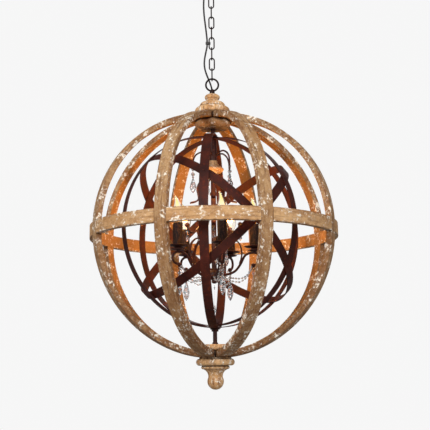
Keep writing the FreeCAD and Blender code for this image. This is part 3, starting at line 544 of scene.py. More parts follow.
@dataclass(frozen=True)
class SmallPart:
    """A plain hard finish with a fine cloud of wear: plastic, plated steel or cord sheath."""

    name: str
    base: Colour
    wear: Colour
    rough: float = 0.45
    metal: float = 0.0

    def material(self) -> bpy.types.Material:
        """Lays out the finish.

        Returns:
            The material.
        """
        bench = Bench(self.name)
        fine = bench.noise(bench.local(), 300.0, 4.0)
        colour = bench.mix(bench.step(fine, 0.45, 0.72), self.base, self.wear)
        gloss = bench.node("MapRange", fine, 0.3, 0.7, self.rough - 0.06, self.rough + 0.1).outputs[0]
        bench.plain(Base_Color=colour, Roughness=gloss, Metallic=self.metal)
        bench.bumped(fine, 0.15, 0.0002)
        return bench.material


@dataclass(frozen=True)
class Backdrop:
    """The even pale paper behind and below the lamp."""

    name: str
    tone: float

    def material(self) -> bpy.types.Material:
        """Lays out the finish.

        Returns:
            The material.
        """
        bench = Bench(self.name)
        black, even = (0.0, 0.0, 0.0), (self.tone, self.tone, self.tone)
        bench.plain(Base_Color=black, Roughness=1.0, Specular_IOR_Level=0.0)
        bench.plain(Emission_Color=even, Emission_Strength=1.0)
        return bench.material


# ---- meshes ----


class Pen:
    """Collects the faces of one piece and hands them over as an object."""

    def __init__(self, name: str) -> None:
        """Starts an empty piece.

        Args:
            name: the piece's name.
        """
        self.name = name
        self.mesh = bmesh.new()
        self.slots: list[bpy.types.Material] = []

    def slot(self, material: bpy.types.Material) -> int:
        """Finds the number of a material's slot, and adds the slot if it is new.

        Args:
            material: the material.

        Returns:
            The slot's number.
        """
        if material not in self.slots:
            self.slots.append(material)
        return self.slots.index(material)

    def lathe(
        self,
        profile: Profile,
        sides: int,
        material: bpy.types.Material,
        place: Matrix,
        smooth: bool = True,
        twist: float = 0.0,
        wobble: Callable[[float, float], float] | None = None,
    ) -> None:
        """Adds a turned or faceted form.

        Args:
            profile: radius and height pairs from one end to the other.
            sides: how many sides the form has.
            material: its finish.
            place: where it stands.
            smooth: whether it is shaded round.
            twist: how far each ring is turned on the one before, in sides.
            wobble: how much to add to the radius at a height and an angle.
        """
        slot = self.slot(material)
        rings: list[list[bmesh.types.BMVert]] = []
        for level, (radius, height) in enumerate(profile):
            if radius < TINY:
                rings.append([self.mesh.verts.new(place @ Vector((0.0, 0.0, height)))])
                continue
            ring = []
            for side in range(sides):
                angle = 2 * math.pi * (side + twist * level) / sides
                wide = radius + (wobble(height, angle) if wobble else 0.0)
                spot = Vector((wide * math.cos(angle), wide * math.sin(angle), height))
                ring.append(self.mesh.verts.new(place @ spot))
            rings.append(ring)
        for lower, upper in zip(rings, rings[1:]):
            for side in range(sides):
                after = (side + 1) % sides
                corners = [
                    lower[side % len(lower)],
                    lower[after % len(lower)],
                    upper[after % len(upper)],
                    upper[side % len(upper)],
                ]
                unique = list(dict.fromkeys(corners))
                if len(unique) > 2:
                    face = self.mesh.faces.new(unique)
                    face.material_index = slot
                    face.smooth = smooth

    def cut(self, profile: Profile, material: bpy.types.Material, place: Matrix) -> None:
        """Adds a cut form of flat facets, each ring turned half a side on the one before.

        Args:
            profile: radius and height pairs from one end to the other.
            material: its finish.
            place: where it stands.
        """
        self.lathe(profile, FACETS, material, place, smooth=False, twist=0.5)

    def tube(
        self,
        path: Sequence[Vector],
        radius: float,
        material: bpy.types.Material,
        sides: int,
        closed: bool = False,
    ) -> None:
        """Adds a round wire along a line.

        Args:
            path: the line's points.
            radius: its radius.
            material: its finish.
            sides: how many sides it has.
            closed: whether its end meets its start.
        """
        slot = self.slot(material)
        count = len(path)
        rings = []
        side_way: Vector | None = None
        for index, spot in enumerate(path):
            before = path[index - 1] if index or closed else path[0]
            after = path[(index + 1) % count] if index < count - 1 or closed else path[-1]
            way = (after - before).normalized()
            if side_way is None:
                side_way = way.orthogonal().normalized()
            side_way = (side_way - way * side_way.dot(way)).normalized()
            other = way.cross(side_way)
            ring = []
            for side in range(sides):
                angle = 2 * math.pi * side / sides
                out = side_way * (radius * math.cos(angle)) + other * (radius * math.sin(angle))
                ring.append(self.mesh.verts.new(spot + out))
            rings.append(ring)
        pairs = list(zip(rings, rings[1:]))
        if closed:
            shift = self._nearest_shift(rings[-1], rings[0])
            pairs.append((rings[-1], rings[0][shift:] + rings[0][:shift]))
        for lower, upper in pairs:
            for side in range(sides):
                after_side = (side + 1) % sides
                face = self.mesh.faces.new([lower[side], lower[after_side], upper[after_side], upper[side]])
                face.material_index = slot
                face.smooth = True
        if not closed:
            for ring in (rings[0][::-1], rings[-1]):
                face = self.mesh.faces.new(ring)
                face.material_index = slot

    @staticmethod
    def _nearest_shift(last: Sequence[bmesh.types.BMVert], first: Sequence[bmesh.types.BMVert]) -> int:
        """How far to turn the first ring so that its corners lie beside the last one's."""
        return min(range(len(first)), key=lambda shift: (first[shift].co - last[0].co).length)

    def piece(self) -> bpy.types.Object:
        """Makes the object out of the faces.

        Returns:
            The new object.
        """
        bmesh.ops.remove_doubles(self.mesh, verts=self.mesh.verts, dist=TINY)
        bmesh.ops.recalc_face_normals(self.mesh, faces=self.mesh.faces)
        data = bpy.data.meshes.new(self.name)
        self.mesh.to_mesh(data)
        self.mesh.free()
        for material in self.slots:
            data.materials.append(material)
        piece = bpy.data.objects.new(self.name, data)
        bpy.context.scene.collection.objects.link(piece)
        return piece

    def done(self, body: str, slot: str, *nodes: str) -> bpy.types.Object:
        """Makes the object, hangs it on its body, hides the CAD nodes it stands for and logs what it rides
        on.

        Args:
            body: the body that it moves with.
            slot: not used.
            nodes: the CAD nodes that it stands for.

        Returns:
            The new object.
        """
        piece = self.piece()
        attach(piece, body)
        if nodes:
            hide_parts(*nodes)
        log.info("%s rides on %s", self.name, body)
        return piece


def smooth_line(points: Sequence[Vector], steps: int) -> list[Vector]:
    """A smooth line through points.

    Args:
        points: the points that it passes.
        steps: how many points it gets between two of them.

    Returns:
        The line's points.
    """
    line: list[Vector] = []
    padded = [points[0] * 2 - points[1], *points, points[-1] * 2 - points[-2]]
    for a, b, c, d in zip(padded, padded[1:], padded[2:], padded[3:]):
        for step in range(steps):
            t = step / steps
            square, cube = (2 * a - 5 * b + 4 * c - d) * t * t, (3 * b - a - 3 * c + d) * t * t * t
            line.append(0.5 * (2 * b + (c - a) * t + square + cube))
    line.append(points[-1].copy())
    return line


def bowed(start: Flat, end: Flat, bow: float, steps: int) -> list[Flat]:
    """A stretch of an outline that bulges away from the axis, or is hollow where the bow is negative.

    Args:
        start: the radius and height it begins at.
        end: the radius and height it ends at.
        bow: how far its middle stands out from the straight line.
        steps: how many points it gets.

    Returns:
        The points after the start, up to the end.
    """
    run = (end[0] - start[0], end[1] - start[1])
    size = math.hypot(*run)
    line = []
    for step in range(1, steps + 1):
        share = step / steps
        out = bow * math.sin(math.pi * share) / size
        line.append((start[0] + run[0] * share + run[1] * out, start[1] + run[1] * share - run[0] * out))
    return line


def dress(names: Iterable[str], material: bpy.types.Material) -> None:
    """Gives CAD nodes a finish.

    Args:
        names: the nodes.
        material: the finish.
    """
    for name in names:
        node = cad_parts[name]
        for slot in node.material_slots:
            slot.material = material
        log.info("%s wears %s", name, material.name)


def stand(azimuth: float, radius: float) -> Matrix:
    """The place at a radius and an azimuth in degrees about the stem, turned to face outwards."""
    turn = Matrix.Rotation(math.radians(azimuth), 4, "Z")
    return turn @ Matrix.Translation(Vector((radius, 0.0, -CEILING)))


# ---- sub-assemblies ----


@dataclass
class WoodenOrb:
    """The eight ribs, the band, and the turned pieces at the poles."""

    rib_count: int = 8
    first_azimuth: float = -112.5
    turned: tuple[str, ...] = ("top_cap", "top_bun", "bottom_disc", "finial", "wood_bell")
    tones: tuple[float, ...] = (1.1, 0.66, 1.45, 0.98, 0.9)
    hazes: tuple[float, ...] = (0.45, 0.3, 0.5, 0.3, 0.4)
    cap_bore: float = 5.55
    cap_foot: float = 38.2
    cap_seat: float = 310.1
    cap_mouldings: tuple[Point, ...] = (
        (45.0, 317.6, 1.7), (38.4, 327.6, 2.2), (32.6, 329.4, -0.7), (33.2, 333.0, 0.4), (25.6, 341.6, 1.5),
        (16.2, 346.4, -1.3), (16.2, 350.2, -0.4), (19.4, 354.8, 0.7), (18.0, 359.8, 0.7), (12.4, 362.8, 0.5),
        (8.4, 365.0, 0.4),
    )
    cap_sides: int = 80
    steps: int = 7

    def dress_ribs(self) -> None:
        """Gives each rib its own stretch of grain and paint."""
        for index in range(self.rib_count):
            azimuth = self.first_azimuth + index * 360.0 / self.rib_count
            name = f"rib_wood_{index + 1}"
            finish = WeatheredWood(name, Grain.ALONG_RIB, azimuth, shift=1.7 * index, tone=0.67, bottom_darkening=0.5)
            dress([f"rib_{index + 1}"], finish.material())

    def dress_band(self) -> None:
        """Gives the band grain that runs round it."""
        finish = WeatheredWood("band_wood", Grain.AROUND_BAND, 180.0, shift=23.0, tone=0.88, streaks=0.4)
        dress(["equator_band"], finish.material())

    def cap_outline(self) -> list[Flat]:
        """The cap's section: the seat on the ribs, the two mouldings, the neck, the knob and the bore.

        Returns:
            Radius and height pairs in metres, from the bore's foot round to it again.
        """
        first, last = self.cap_bore, self.cap_foot
        seat = [first + (last - first) * step / self.steps for step in range(self.steps + 1)]
        line = [(radius, math.sqrt(self.cap_seat**2 - radius**2)) for radius in seat]
        for radius, height, bow in self.cap_mouldings:
            line += bowed(line[-1], (radius, height), bow, self.steps)
        line += [(self.cap_bore, line[-1][1]), line[0]]
        return [(radius / 1000.0, height / 1000.0) for radius, height in line]

    def turn_cap(self, finish: bpy.types.Material) -> None:
        """Turns the cap with its soft mouldings and flat knob, in place of the plain solid.

        Args:
            finish: the cap's finish.
        """
        pen = Pen("turned_cap")
        pen.lathe(self.cap_outline(), self.cap_sides, finish, stand(0.0, 0.0))
        pen.done("fixture", "weathered_wood", "top_cap")

    def turned_finish(self, index: int) -> WeatheredWood:
        """The finish of one turned piece."""
        name, tone, haze = f"turned_wood_{index + 1}", self.tones[index], self.hazes[index]
        return WeatheredWood(name, Grain.UPRIGHT, 30.0 * index, shift=3.1 * index, tone=tone, haze=haze)

    def dress_turned(self) -> None:
        """Gives the turned pieces upright grain."""
        for index, name in enumerate(self.turned):
            finish = self.turned_finish(index).material()
            dress([name], finish)
            if name == "top_cap":
                self.turn_cap(finish)

    def build(self) -> None:
        """Dresses the whole orb."""
        self.dress_ribs()
        self.dress_band()
        self.dress_turned()


@dataclass
class IronWork:
    """The hoops with their rivets, the stem, the arms and everything else of aged iron."""

    hoops: tuple[str, ...] = (
        "strap_hoop_front", "strap_hoop_left", "strap_hoop_tilted_right",
        "strap_hoop_right", "strap_hoop_tilted_left", "hoop_rivets",
    )
    frame_work: tuple[str, ...] = (
        "crown_hooks", "scroll_straps", "arm_hub", "centre_column", "stem_tube", "stem_nuts", "bottom_rod",
        "drip_cups", "drip_pans", "arm_1", "arm_2", "arm_3", "arm_4", "arm_5",
    )
    hanging: tuple[str, ...] = ("canopy", "canopy_loop", "chain_links", "hanging_ring", "collar_loop")

    def build(self) -> None:
        """Dresses the iron pieces."""
        lamp = AgedIron("lamp_iron", linear(62, 34, 28), linear(104, 58, 40), rough=0.42)
        chain = AgedIron("chain_iron", linear(32, 11, 9), linear(58, 23, 16), linear(19, 8, 7), rough=0.58)
        dress(self.hoops, AgedIron("hoop_iron").material())
        dress(self.frame_work, lamp.material())
        dress(self.hanging, chain.material())
        steel = SmallPart("plated_steel", linear(150, 150, 148), linear(190, 188, 182), rough=0.32, metal=1.0)
        dress(["canopy_bracket", "canopy_nipple"], steel.material())


@dataclass
class Cord:
    """The supply cord, in two lengths that meet in the tie on the chain."""

    diameter: float = 0.0044
    sides: int = 16
    lower: tuple[Point, ...] = (
        (0.0, 7.72, 374.63),
        (0.0, 12.84, 378.64),
        (-0.9, 17.2, 384.0),
        (-2.9, 18.2, 393.5),
        (-6.6, 16.8, 403.5),
        (-11.2, 13.6, 414.5),
        (-15.9, 10.2, 426.0),
        (-19.0, 7.2, 438.0),
        (-19.9, 4.8, 450.5),
        (-18.6, 3.0, 463.5),
        (-15.8, 1.4, 476.5),
        (-13.1, 0.25, 488.5),
        (-11.7, 0.0, 496.0),
        (-11.7, 0.0, 503.0),
    )
    upper: tuple[Point, ...] = (
        (-19.0, 0.0, 639.25),
        (-19.0, 0.0, 632.0),
        (-19.4, 0.3, 622.0),
        (-20.2, 1.6, 602.0),
        (-18.4, 2.6, 575.0),
        (-15.2, 1.8, 548.0),
        (-13.0, 0.6, 526.0),
        (-11.7, 0.0, 512.0),
        (-11.7, 0.0, 503.0),
    )

    def line(self, name: str, route: Sequence[Point]) -> list[Vector]:
        """The smooth line of a route, read from its spline.

        Args:
            name: the spline's name.
            route: the control points, in millimetres about the orb's centre.

        Returns:
            The points of the line.
        """
        curve = bpy.data.curves.new(name, "CURVE")
        curve.dimensions = "3D"
        curve.resolution_u = 10
        spline = curve.splines.new("NURBS")
        spline.points.add(len(route) - 1)
        for point, place in zip(spline.points, route):
            point.co = (*at(*place), 1.0)
        spline.order_u = 3
        spline.use_endpoint_u = True
        holder = bpy.data.objects.new(name, curve)
        bpy.context.scene.collection.objects.link(holder)
        bpy.context.view_layer.update()
        data = bpy.data.meshes.new_from_object(holder)
        points = [vertex.co.copy() for vertex in data.vertices]
        bpy.data.objects.remove(holder)
        return points

    def run(
        self, name: str, route: Sequence[Point], above: str, below: str, finish: bpy.types.Material
    ) -> None:
        """Builds one length of the cord.

        Args:
            name: the CAD node's name, to which the piece's name adds _sheath.
            route: its control points, from where it leaves the lamp or the canopy.
            above: not used.
            below: not used.
            finish: its material.
        """
        path = self.line(name + "_line", route)
        pen = Pen(name + "_sheath")
        pen.tube(path, self.diameter / 2, finish, self.sides)
        piece = pen.piece()
        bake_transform(piece)
        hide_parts(name)

    def build(self) -> None:
        """Builds both lengths and dresses the grip and the tie."""
        sheath = SmallPart("cord_sheath", linear(20, 15, 14), linear(38, 28, 25), rough=0.55).material()
        black = SmallPart("black_plastic", linear(30, 27, 26), linear(48, 43, 41), rough=0.4).material()
        self.run("cord_lower", self.lower, "fixture", "chain", sheath)
        self.run("cord_upper", self.upper, "canopy", "chain", sheath)
        dress(["cord_grip", "cord_tie"], black)
        dress(["supply_wire"], sheath)


@dataclass
class Candles:
    """The candle sleeves, their sockets and the lit bent-tip bulbs."""

    sleeve_bottom: float = -35.5
    sleeve_top: float = 20.5
    sleeve_radius: float = 12.5
    sleeve_wall: float = 1.6
    bulb_bottom: float = 14.2
    bulb_tip: float = 89.3
    glass_wall: float = 0.7
    glass_tip: float = 4.0
    tip_lean: float = 6.2
    lean_start: float = 0.55
    lean_azimuth: float = 180.0
    turns: tuple[float, ...] = (0.0, -24.0, 18.0, -12.0, 9.0)
    lamp_power: float = 0.62
    lamp_size: float = 0.010
    lamp_height: float = 0.050
    lamp_colour: Colour = (1.0, 0.47, 0.10)
    screw_radius: float = 6.6
    screw_foot: float = -14.0
    thread_depth: float = 0.35
    thread_step: float = 1.5
    thread_count: int = 16
    wax_depth: float = 0.45
    wax_rings: int = 30
    wax_waves: int = 9
    wax_drift: float = 260.0
    wax_seed: int = 400
    lip: float = 0.3
    mouth_depth: float = 12.0
    sleeve_sides: int = 72
    glass_sides: int = 32
    glow_sides: int = 20
    screw_sides: int = 28
    envelope: tuple[Flat, ...] = (
        (0.0, 7.0), (0.04, 7.6), (0.09, 9.6), (0.16, 12.3), (0.25, 14.8), (0.34, 15.9),
        (0.42, 15.8), (0.52, 14.0), (0.61, 10.9), (0.69, 8.2), (0.76, 6.3), (0.83, 5.1),
        (0.89, 4.1), (0.94, 3.2), (0.975, 2.2), (0.993, 1.1),
    )
    glow: tuple[Flat, ...] = (
        (0.40, 0.0), (0.43, 2.4), (0.48, 5.0), (0.54, 6.4), (0.61, 6.0), (0.69, 4.6),
        (0.76, 3.4), (0.83, 2.6), (0.89, 1.9), (0.94, 1.3), (0.965, 0.8), (0.975, 0.0),
    )

    def sleeve(self, index: int, finish: bpy.types.Material) -> None:
        """Builds one sleeve with runs of wax down its sides.

        Args:
            index: which candle.
            finish: its material.
        """
        chance = random.Random(self.wax_seed + index)
        waves = []
        for _ in range(self.wax_waves):
            waves.append((chance.randint(3, 15), chance.uniform(0, 6.28), chance.uniform(0.1, 0.5)))

        def wobble(height: float, angle: float) -> float:
            """Ridges and runs in the wax, never outside the sleeve's own radius.

            Args:
                height: the height on the sleeve, in metres.
                angle: the angle round it, in radians.

            Returns:
                How much is added to the radius, in metres.
            """
            total = 0.0
            for count, phase, share in waves:
                total += share * math.sin(count * angle + phase + self.wax_drift * height * share)
            return -self.wax_depth / 1000.0 * (1.0 + math.tanh(total))

        pen = Pen(f"candle_sleeve_{index + 1}")
        low, high = self.sleeve_bottom / 1000.0, self.sleeve_top / 1000.0
        outer = self.sleeve_radius / 1000.0
        inner = outer - self.sleeve_wall / 1000.0
        mouth = high - self.mouth_depth / 1000.0
        profile = [(inner, low), (outer, low)]
        profile += [(outer, low + (high - low) * (i + 0.5) / self.wax_rings) for i in range(self.wax_rings)]
        profile += [(outer - self.lip / 1000.0, high), (inner, high), (inner, mouth)]
        place = stand(self.azimuth(index), CANDLE_CIRCLE)
        pen.lathe(profile, self.sleeve_sides, finish, place, wobble=wobble)
        pen.done("fixture", "candle_bark")

    def azimuth(self, index: int) -> float:
        """The azimuth of a candle, in degrees."""
        return ARM_AZIMUTH + ARM_STEP * index

    def bulb(
        self, index: int, glass: bpy.types.Material, flame: bpy.types.Material, brass: bpy.types.Material
    ) -> bpy.types.Object:
        """Builds one bulb: its screw shell, its bent glass and the glow inside.

        Args:
            index: which candle.
            glass: the envelope's finish.
            flame: the glow's finish.
            brass: the screw shell's finish.

        Returns:
            The bulb.
        """
        pen = Pen(f"bulb_{index + 1}")
        place = stand(self.azimuth(index), CANDLE_CIRCLE)
        low, tip = self.bulb_bottom / 1000.0, self.bulb_tip / 1000.0
        outer = self.outline(self.envelope)
        wall = self.glass_wall / 1000.0
        inner = [(radius - wall, height) for radius, height in outer if radius > 0.0025]
        inner.append((0.0, tip - self.glass_tip / 1000.0))
        pen.lathe([inner[0], *outer, (0.0, tip)], self.glass_sides, glass, place)
        pen.lathe(inner, self.glass_sides, glass, place)
        pen.lathe(self.outline(self.glow), self.glow_sides, flame, place)
        lean = place.to_3x3().inverted() @ ray(self.lean_azimuth + self.turns[index])
        for vertex in pen.mesh.verts:
            self.bend(vertex, place, low + (tip - low) * self.lean_start, tip, lean)
        pen.lathe(self.screw_shell(self.bulb_bottom), self.screw_sides, brass, place)
        piece = pen.done("fixture", "bulb_glass")
        piece.visible_shadow = False
        return piece

    def outline(self, shape: Profile) -> list[Flat]:
        """Radius and height in metres for shares of the bulb's height and radii in millimetres."""
        low, tip = self.bulb_bottom / 1000.0, self.bulb_tip / 1000.0
        return [(radius / 1000.0, low + (tip - low) * share) for share, radius in shape]

    def screw_shell(self, top: float) -> list[Flat]:
        """The section of the threaded shell under the glass.

        Args:
            top: the height of the glass's foot, in millimetres.

        Returns:
            Radius and height pairs in metres.
        """
        foot = self.screw_foot
        shell = [(0.0, foot), (4.5, foot), (6.2, foot + 2.0)]
        for turn in range(self.thread_count):
            wide = self.screw_radius + self.thread_depth * math.cos(math.pi * turn)
            shell.append((wide, foot + 3.5 + turn * self.thread_step))
        shell += [(self.screw_radius + 0.3, top - 0.2), (0.0, top - 0.2)]
        return [(radius / 1000.0, height / 1000.0) for radius, height in shell]

    def bend(
        self, vertex: bmesh.types.BMVert, place: Matrix, start: float, tip: float, lean: Vector
    ) -> None:
        """Bends the tip of a bulb sideways, as a flame in a draught.

        Args:
            vertex: the vertex to move.
            place: where the bulb stands.
            start: the height at which the bend begins.
            tip: the height of the tip.
            lean: the level direction of the bend.
        """
        local = place.inverted() @ vertex.co
        if local.z > start:
            share = (local.z - start) / (tip - start)
            vertex.co = place @ (local + lean * (self.tip_lean / 1000.0 * share * share))

    def light(self, index: int, bulb: bpy.types.Object) -> None:
        """Hangs a warm light in a bulb, which it moves with.

        Args:
            index: which candle.
            bulb: the candle's bulb.
        """
        lamp = bpy.data.lights.new(f"bulb_light_{index + 1}", "POINT")
        lamp.energy = self.lamp_power
        lamp.color = self.lamp_colour
        lamp.shadow_soft_size = self.lamp_size
        holder = bpy.data.objects.new(lamp.name, lamp)
        holder.location = stand(self.azimuth(index), CANDLE_CIRCLE) @ Vector((0.0, 0.0, self.lamp_height))
        holder.parent = bulb
        bpy.context.scene.collection.objects.link(holder)

    def build(self) -> None:
        """Builds the five candles."""
        bark = CandleBark("candle_bark").material()
        glass = LampGlass("bulb_glass").material()
        foot, tip = self.bulb_bottom / 1000.0 - CEILING, self.bulb_tip / 1000.0 - CEILING
        flame = Flame("bulb_glow", foot, tip).material()
        brass = SmallPart("screw_shell", linear(176, 150, 96), linear(208, 186, 130), rough=0.3, metal=1.0)
        shell = brass.material()
        porcelain = SmallPart("lamp_socket", linear(206, 198, 182), linear(186, 174, 152), rough=0.4)
        for index in range(ARM_COUNT):
            self.sleeve(index, bark)
            self.light(index, self.bulb(index, glass, flame, shell))
        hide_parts("candle_sleeves")
        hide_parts("bulbs")
        dress(["lamp_sockets"], porcelain.material())


@dataclass(frozen=True)
class DropSizes:
    """The sizes of one kind of pendant, in millimetres."""

    circle: float
    eye_height: float
    bead: float
    small_bead: float
    width: float
    length: float
    eye_radius: float = 3.0
    eye_wire: float = 1.6
    ring_wire: float = 1.2
    drop_wire: float = 0.0
    pin_radius: float = 0.5
    pin_share: float = 0.2
    play: float = 0.3
    gap: float = 0.1
    depth_share: float = 0.6


@dataclass
class Pendant:
    """A hanging drop: a ring, a pin, two cut beads and a cut almond drop."""

    name: str
    body: str
    azimuth: float
    sizes: DropSizes
    nodes: tuple[str, ...] = ()
    facing: float = 0.0
    almond: tuple[Flat, ...] = (
        (0.0, 0.22), (0.06, 0.30), (0.16, 0.42), (0.3, 0.66), (0.46, 0.9), (0.6, 1.0),
        (0.72, 0.92), (0.84, 0.62), (0.93, 0.32),
    )

    def bead(self, pen: Pen, top: float, size: float, place: Matrix, crystal: bpy.types.Material) -> None:
        """Adds a cut bead under a height.

        Args:
            pen: the piece in the making.
            top: the bead's top, in millimetres.
            size: its diameter.
            place: the pendant's place.
            crystal: its finish.
        """
        r = size / 2000.0
        mid = (top - size / 2) / 1000.0
        half = [(0.0, r), (r * 0.22, r), (r * 0.72, r * 0.70), (r, r * 0.24)]
        profile = [(wide, mid + rise) for wide, rise in half]
        profile += [(wide, mid - rise) for wide, rise in reversed(half)]
        pen.cut(profile, crystal, place)

    def ring(self, pen: Pen, middle: float, place: Matrix, wire: bpy.types.Material) -> None:
        """Adds the wire ring that hangs in the eye.

        Args:
            pen: the piece in the making.
            middle: the height of the ring's middle, in millimetres.
            place: the pendant's place.
            wire: its finish.
        """
        wide = self.sizes.eye_radius
        count = 24
        points = []
        for step in range(count):
            angle = 2 * math.pi * step / count
            spot = Vector((0.0, wide * math.sin(angle), middle + wide * math.cos(angle)))
            points.append(place @ (spot / 1000.0))
        pen.tube(points, self.sizes.ring_wire / 2000.0, wire, WIRE_SIDES, closed=True)

    def drop(self, pen: Pen, top: float, place: Matrix, crystal: bpy.types.Material) -> None:
        """Adds the almond drop, flattened and turned to face its own way.

        Args:
            pen: the piece in the making.
            top: the drop's top, in millimetres.
            place: the pendant's place.
            crystal: its finish.
        """
        wide, length = self.sizes.width / 2000.0, self.sizes.length
        profile = [(0.0, top / 1000.0)]
        profile += [(wide * share, (top - length * down) / 1000.0) for down, share in self.almond]
        profile.append((0.0, (top - length) / 1000.0))
        front = Matrix.Rotation(math.radians(self.facing - self.azimuth), 4, "Z")
        flat = place @ front @ Matrix.Scale(self.sizes.depth_share, 4, Vector((0.0, 1.0, 0.0)))
        pen.cut(profile, crystal, flat)

    def build(self, crystal: bpy.types.Material, wire: bpy.types.Material) -> None:
        """Builds the pendant on its own body.

        Args:
            crystal: the glass finish.
            wire: the wire's finish.
        """
        pen = Pen(self.name + "_crystal")
        sizes = self.sizes
        place = stand(self.azimuth, sizes.circle / 1000.0)
        hang = sizes.eye_height - sizes.eye_radius + (sizes.eye_wire + sizes.ring_wire) / 2 + sizes.play
        foot = hang - 2 * sizes.eye_radius
        bead_top = foot - sizes.ring_wire / 2 - sizes.gap
        small_top = bead_top - sizes.bead - sizes.gap
        drop_top = small_top - sizes.small_bead - sizes.gap - sizes.drop_wire
        self.ring(pen, hang - sizes.eye_radius, place, wire)
        pin_foot = drop_top - sizes.length * sizes.pin_share
        pin = [place @ Vector((0.0, 0.0, height / 1000.0)) for height in (foot, pin_foot)]
        pen.tube(pin, sizes.pin_radius / 1000.0, wire, WIRE_SIDES)
        self.bead(pen, bead_top, sizes.bead, place, crystal)
        self.bead(pen, small_top, sizes.small_bead, place, crystal)
        self.drop(pen, drop_top, place, crystal)
        pen.done(self.body, "crystal", *self.nodes)


@dataclass
class Crystals:
    """All pendants and the strings of beads."""

    bead_radius: float = 2.5
    bead_length: float = 6.2
    beads_per_strand: int = 12
    bead_start: float = 0.6
    bead_spare: float = 0.2
    thread_radius: float = 0.3
    thread_sides: int = 6
    steps: int = 10
    sags: tuple[tuple[int, float], ...] = ((-1, 30.0), (1, 20.0))
    strand_offset: float = 4.2
    hub_radius: float = 21.0
    hub_gap: float = 0.3
    hub_height: float = -108.0
    ball_circle: float = 100.0
    ball_radius: float = 5.5
    ball_gap: float = 0.9
    ball_height: float = -83.5
    facings: tuple[float, ...] = (-8.0, 38.0, 14.0, -20.0, -52.0)
    crown_drop: DropSizes = DropSizes(51.5, 166.0, bead=10.0, small_bead=5.6, width=17.0, length=38.0)
    arm_drop: DropSizes = DropSizes(98.0, -90.7, bead=9.0, small_bead=5.4, width=17.0, length=50.0)
    scroll_crystal: DropSizes = DropSizes(
        31.5, -31.0, bead=8.0, small_bead=5.0, width=11.0, length=34.0, eye_radius=2.2, eye_wire=1.0,
        ring_wire=1.0,
    )
    ball_crystal: DropSizes = DropSizes(
        69.5, 10.6, bead=7.0, small_bead=4.0, width=9.0, length=17.0, eye_radius=2.0, eye_wire=1.0,
        ring_wire=0.9,
    )
    hub_crystal: DropSizes = DropSizes(
        0.0, -130.0, bead=4.0, small_bead=3.0, width=7.0, length=21.0, eye_radius=1.6, eye_wire=0.8,
        ring_wire=0.8, drop_wire=38.0, pin_radius=0.12,
    )

    def strand_line(self, azimuth: float, side: int, sag: float) -> list[Vector]:
        """The line of one sagging string between the hub and an arm's ball.

        Args:
            azimuth: the arm's azimuth in degrees.
            side: -1 or 1 for the left or right string.
            sag: how deep it sags, in millimetres.

        Returns:
            The line's points.
        """
        y = self.strand_offset * side
        near = math.sqrt(self.hub_radius**2 - y**2) + self.hub_gap
        far = self.ball_circle - math.sqrt(self.ball_radius**2 - y**2) - self.ball_gap
        start = Vector((near, y, self.hub_height))
        end = Vector((far, y, self.ball_height))
        low = (start.z + end.z) / 2 - sag
        span = end.x - start.x
        knots = [
            start,
            Vector((start.x + span * 0.12, y * 1.15, start.z - sag * 0.35)),
            Vector((start.x + span * 0.34, y * 1.35, low + sag * 0.12)),
            Vector((start.x + span * 0.58, y * 1.35, low + sag * 0.05)),
            Vector((start.x + span * 0.8, y * 1.2, low + sag * 0.42)),
            Vector((start.x + span * 0.94, y * 1.05, end.z - sag * 0.42)),
            end,
        ]
        turn = Matrix.Rotation(math.radians(azimuth), 4, "Z")
        return [turn @ at(*knot) for knot in smooth_line(knots, self.steps)]

    def strand(
        self, pen: Pen, line: Sequence[Vector], crystal: bpy.types.Material, wire: bpy.types.Material
    ) -> None:
        """Threads cut beads on a line.

        Args:
            pen: the piece in the making.
            line: the line's points.
            crystal: the beads' finish.
            wire: the wire's finish.
        """
        pen.tube(line, self.thread_radius / 1000.0, wire, self.thread_sides)
        lengths = [0.0]
        for a, b in zip(line, line[1:]):
            lengths.append(lengths[-1] + (b - a).length)
        r, half = self.bead_radius / 1000.0, self.bead_length / 2000.0
        profile = [(0.0, -half), (r * 0.45, -half * 0.94), (r, -half * 0.3)]
        profile += [(wide, -height) for wide, height in reversed(profile)]
        pitch = lengths[-1] / (self.beads_per_strand + self.bead_spare)
        for number in range(self.beads_per_strand):
            target = pitch * (number + self.bead_start)
            index = next(i for i, run in enumerate(lengths) if run >= target)
            way = (line[min(index + 1, len(line) - 1)] - line[index - 1]).normalized()
            place = Matrix.Translation(line[index]) @ way.to_track_quat("Z", "Y").to_matrix().to_4x4()
            pen.cut(profile, crystal, place)

    def build(self) -> None:
        """Builds the garlands and every pendant."""
        crystal = CutCrystal("cut_crystal").material()
        bead = CutCrystal("bead_crystal", linear(226, 232, 234), linear(236, 224, 218), index=1.32).material()
        worn = SmallPart("crystal_wire", linear(120, 104, 88), linear(150, 132, 112), rough=0.35, metal=1.0)
        wire = worn.material()
        pen = Pen("bead_garlands")
        for index in range(ARM_COUNT):
            for side, sag in self.sags:
                line = self.strand_line(ARM_AZIMUTH + ARM_STEP * index, side, sag)
                self.strand(pen, line, bead, wire)
        pen.done("fixture", "crystal", "garlands")
        for index, facing in enumerate(self.facings):
            crown = f"crown_drop_{index + 1}"
            low = f"arm_drop_{index + 1}"
            step = ARM_STEP * index
            arm = ARM_AZIMUTH + step
            pendants = (
                Pendant(crown, crown + "_body", CROWN_AZIMUTH + step, self.crown_drop, (crown,), facing),
                Pendant(low, low + "_body", arm, self.arm_drop, (low,), -facing),
                Pendant(f"scroll_crystal_{index + 1}", "fixture", arm, self.scroll_crystal),
                Pendant(f"ball_crystal_{index + 1}", "fixture", CAGE_AZIMUTH + step, self.ball_crystal),
            )
            for pendant in pendants:
                pendant.build(crystal, wire)
        Pendant("hub_crystal", "fixture", 0.0, self.hub_crystal).build(crystal, wire)


# ---- studio ----


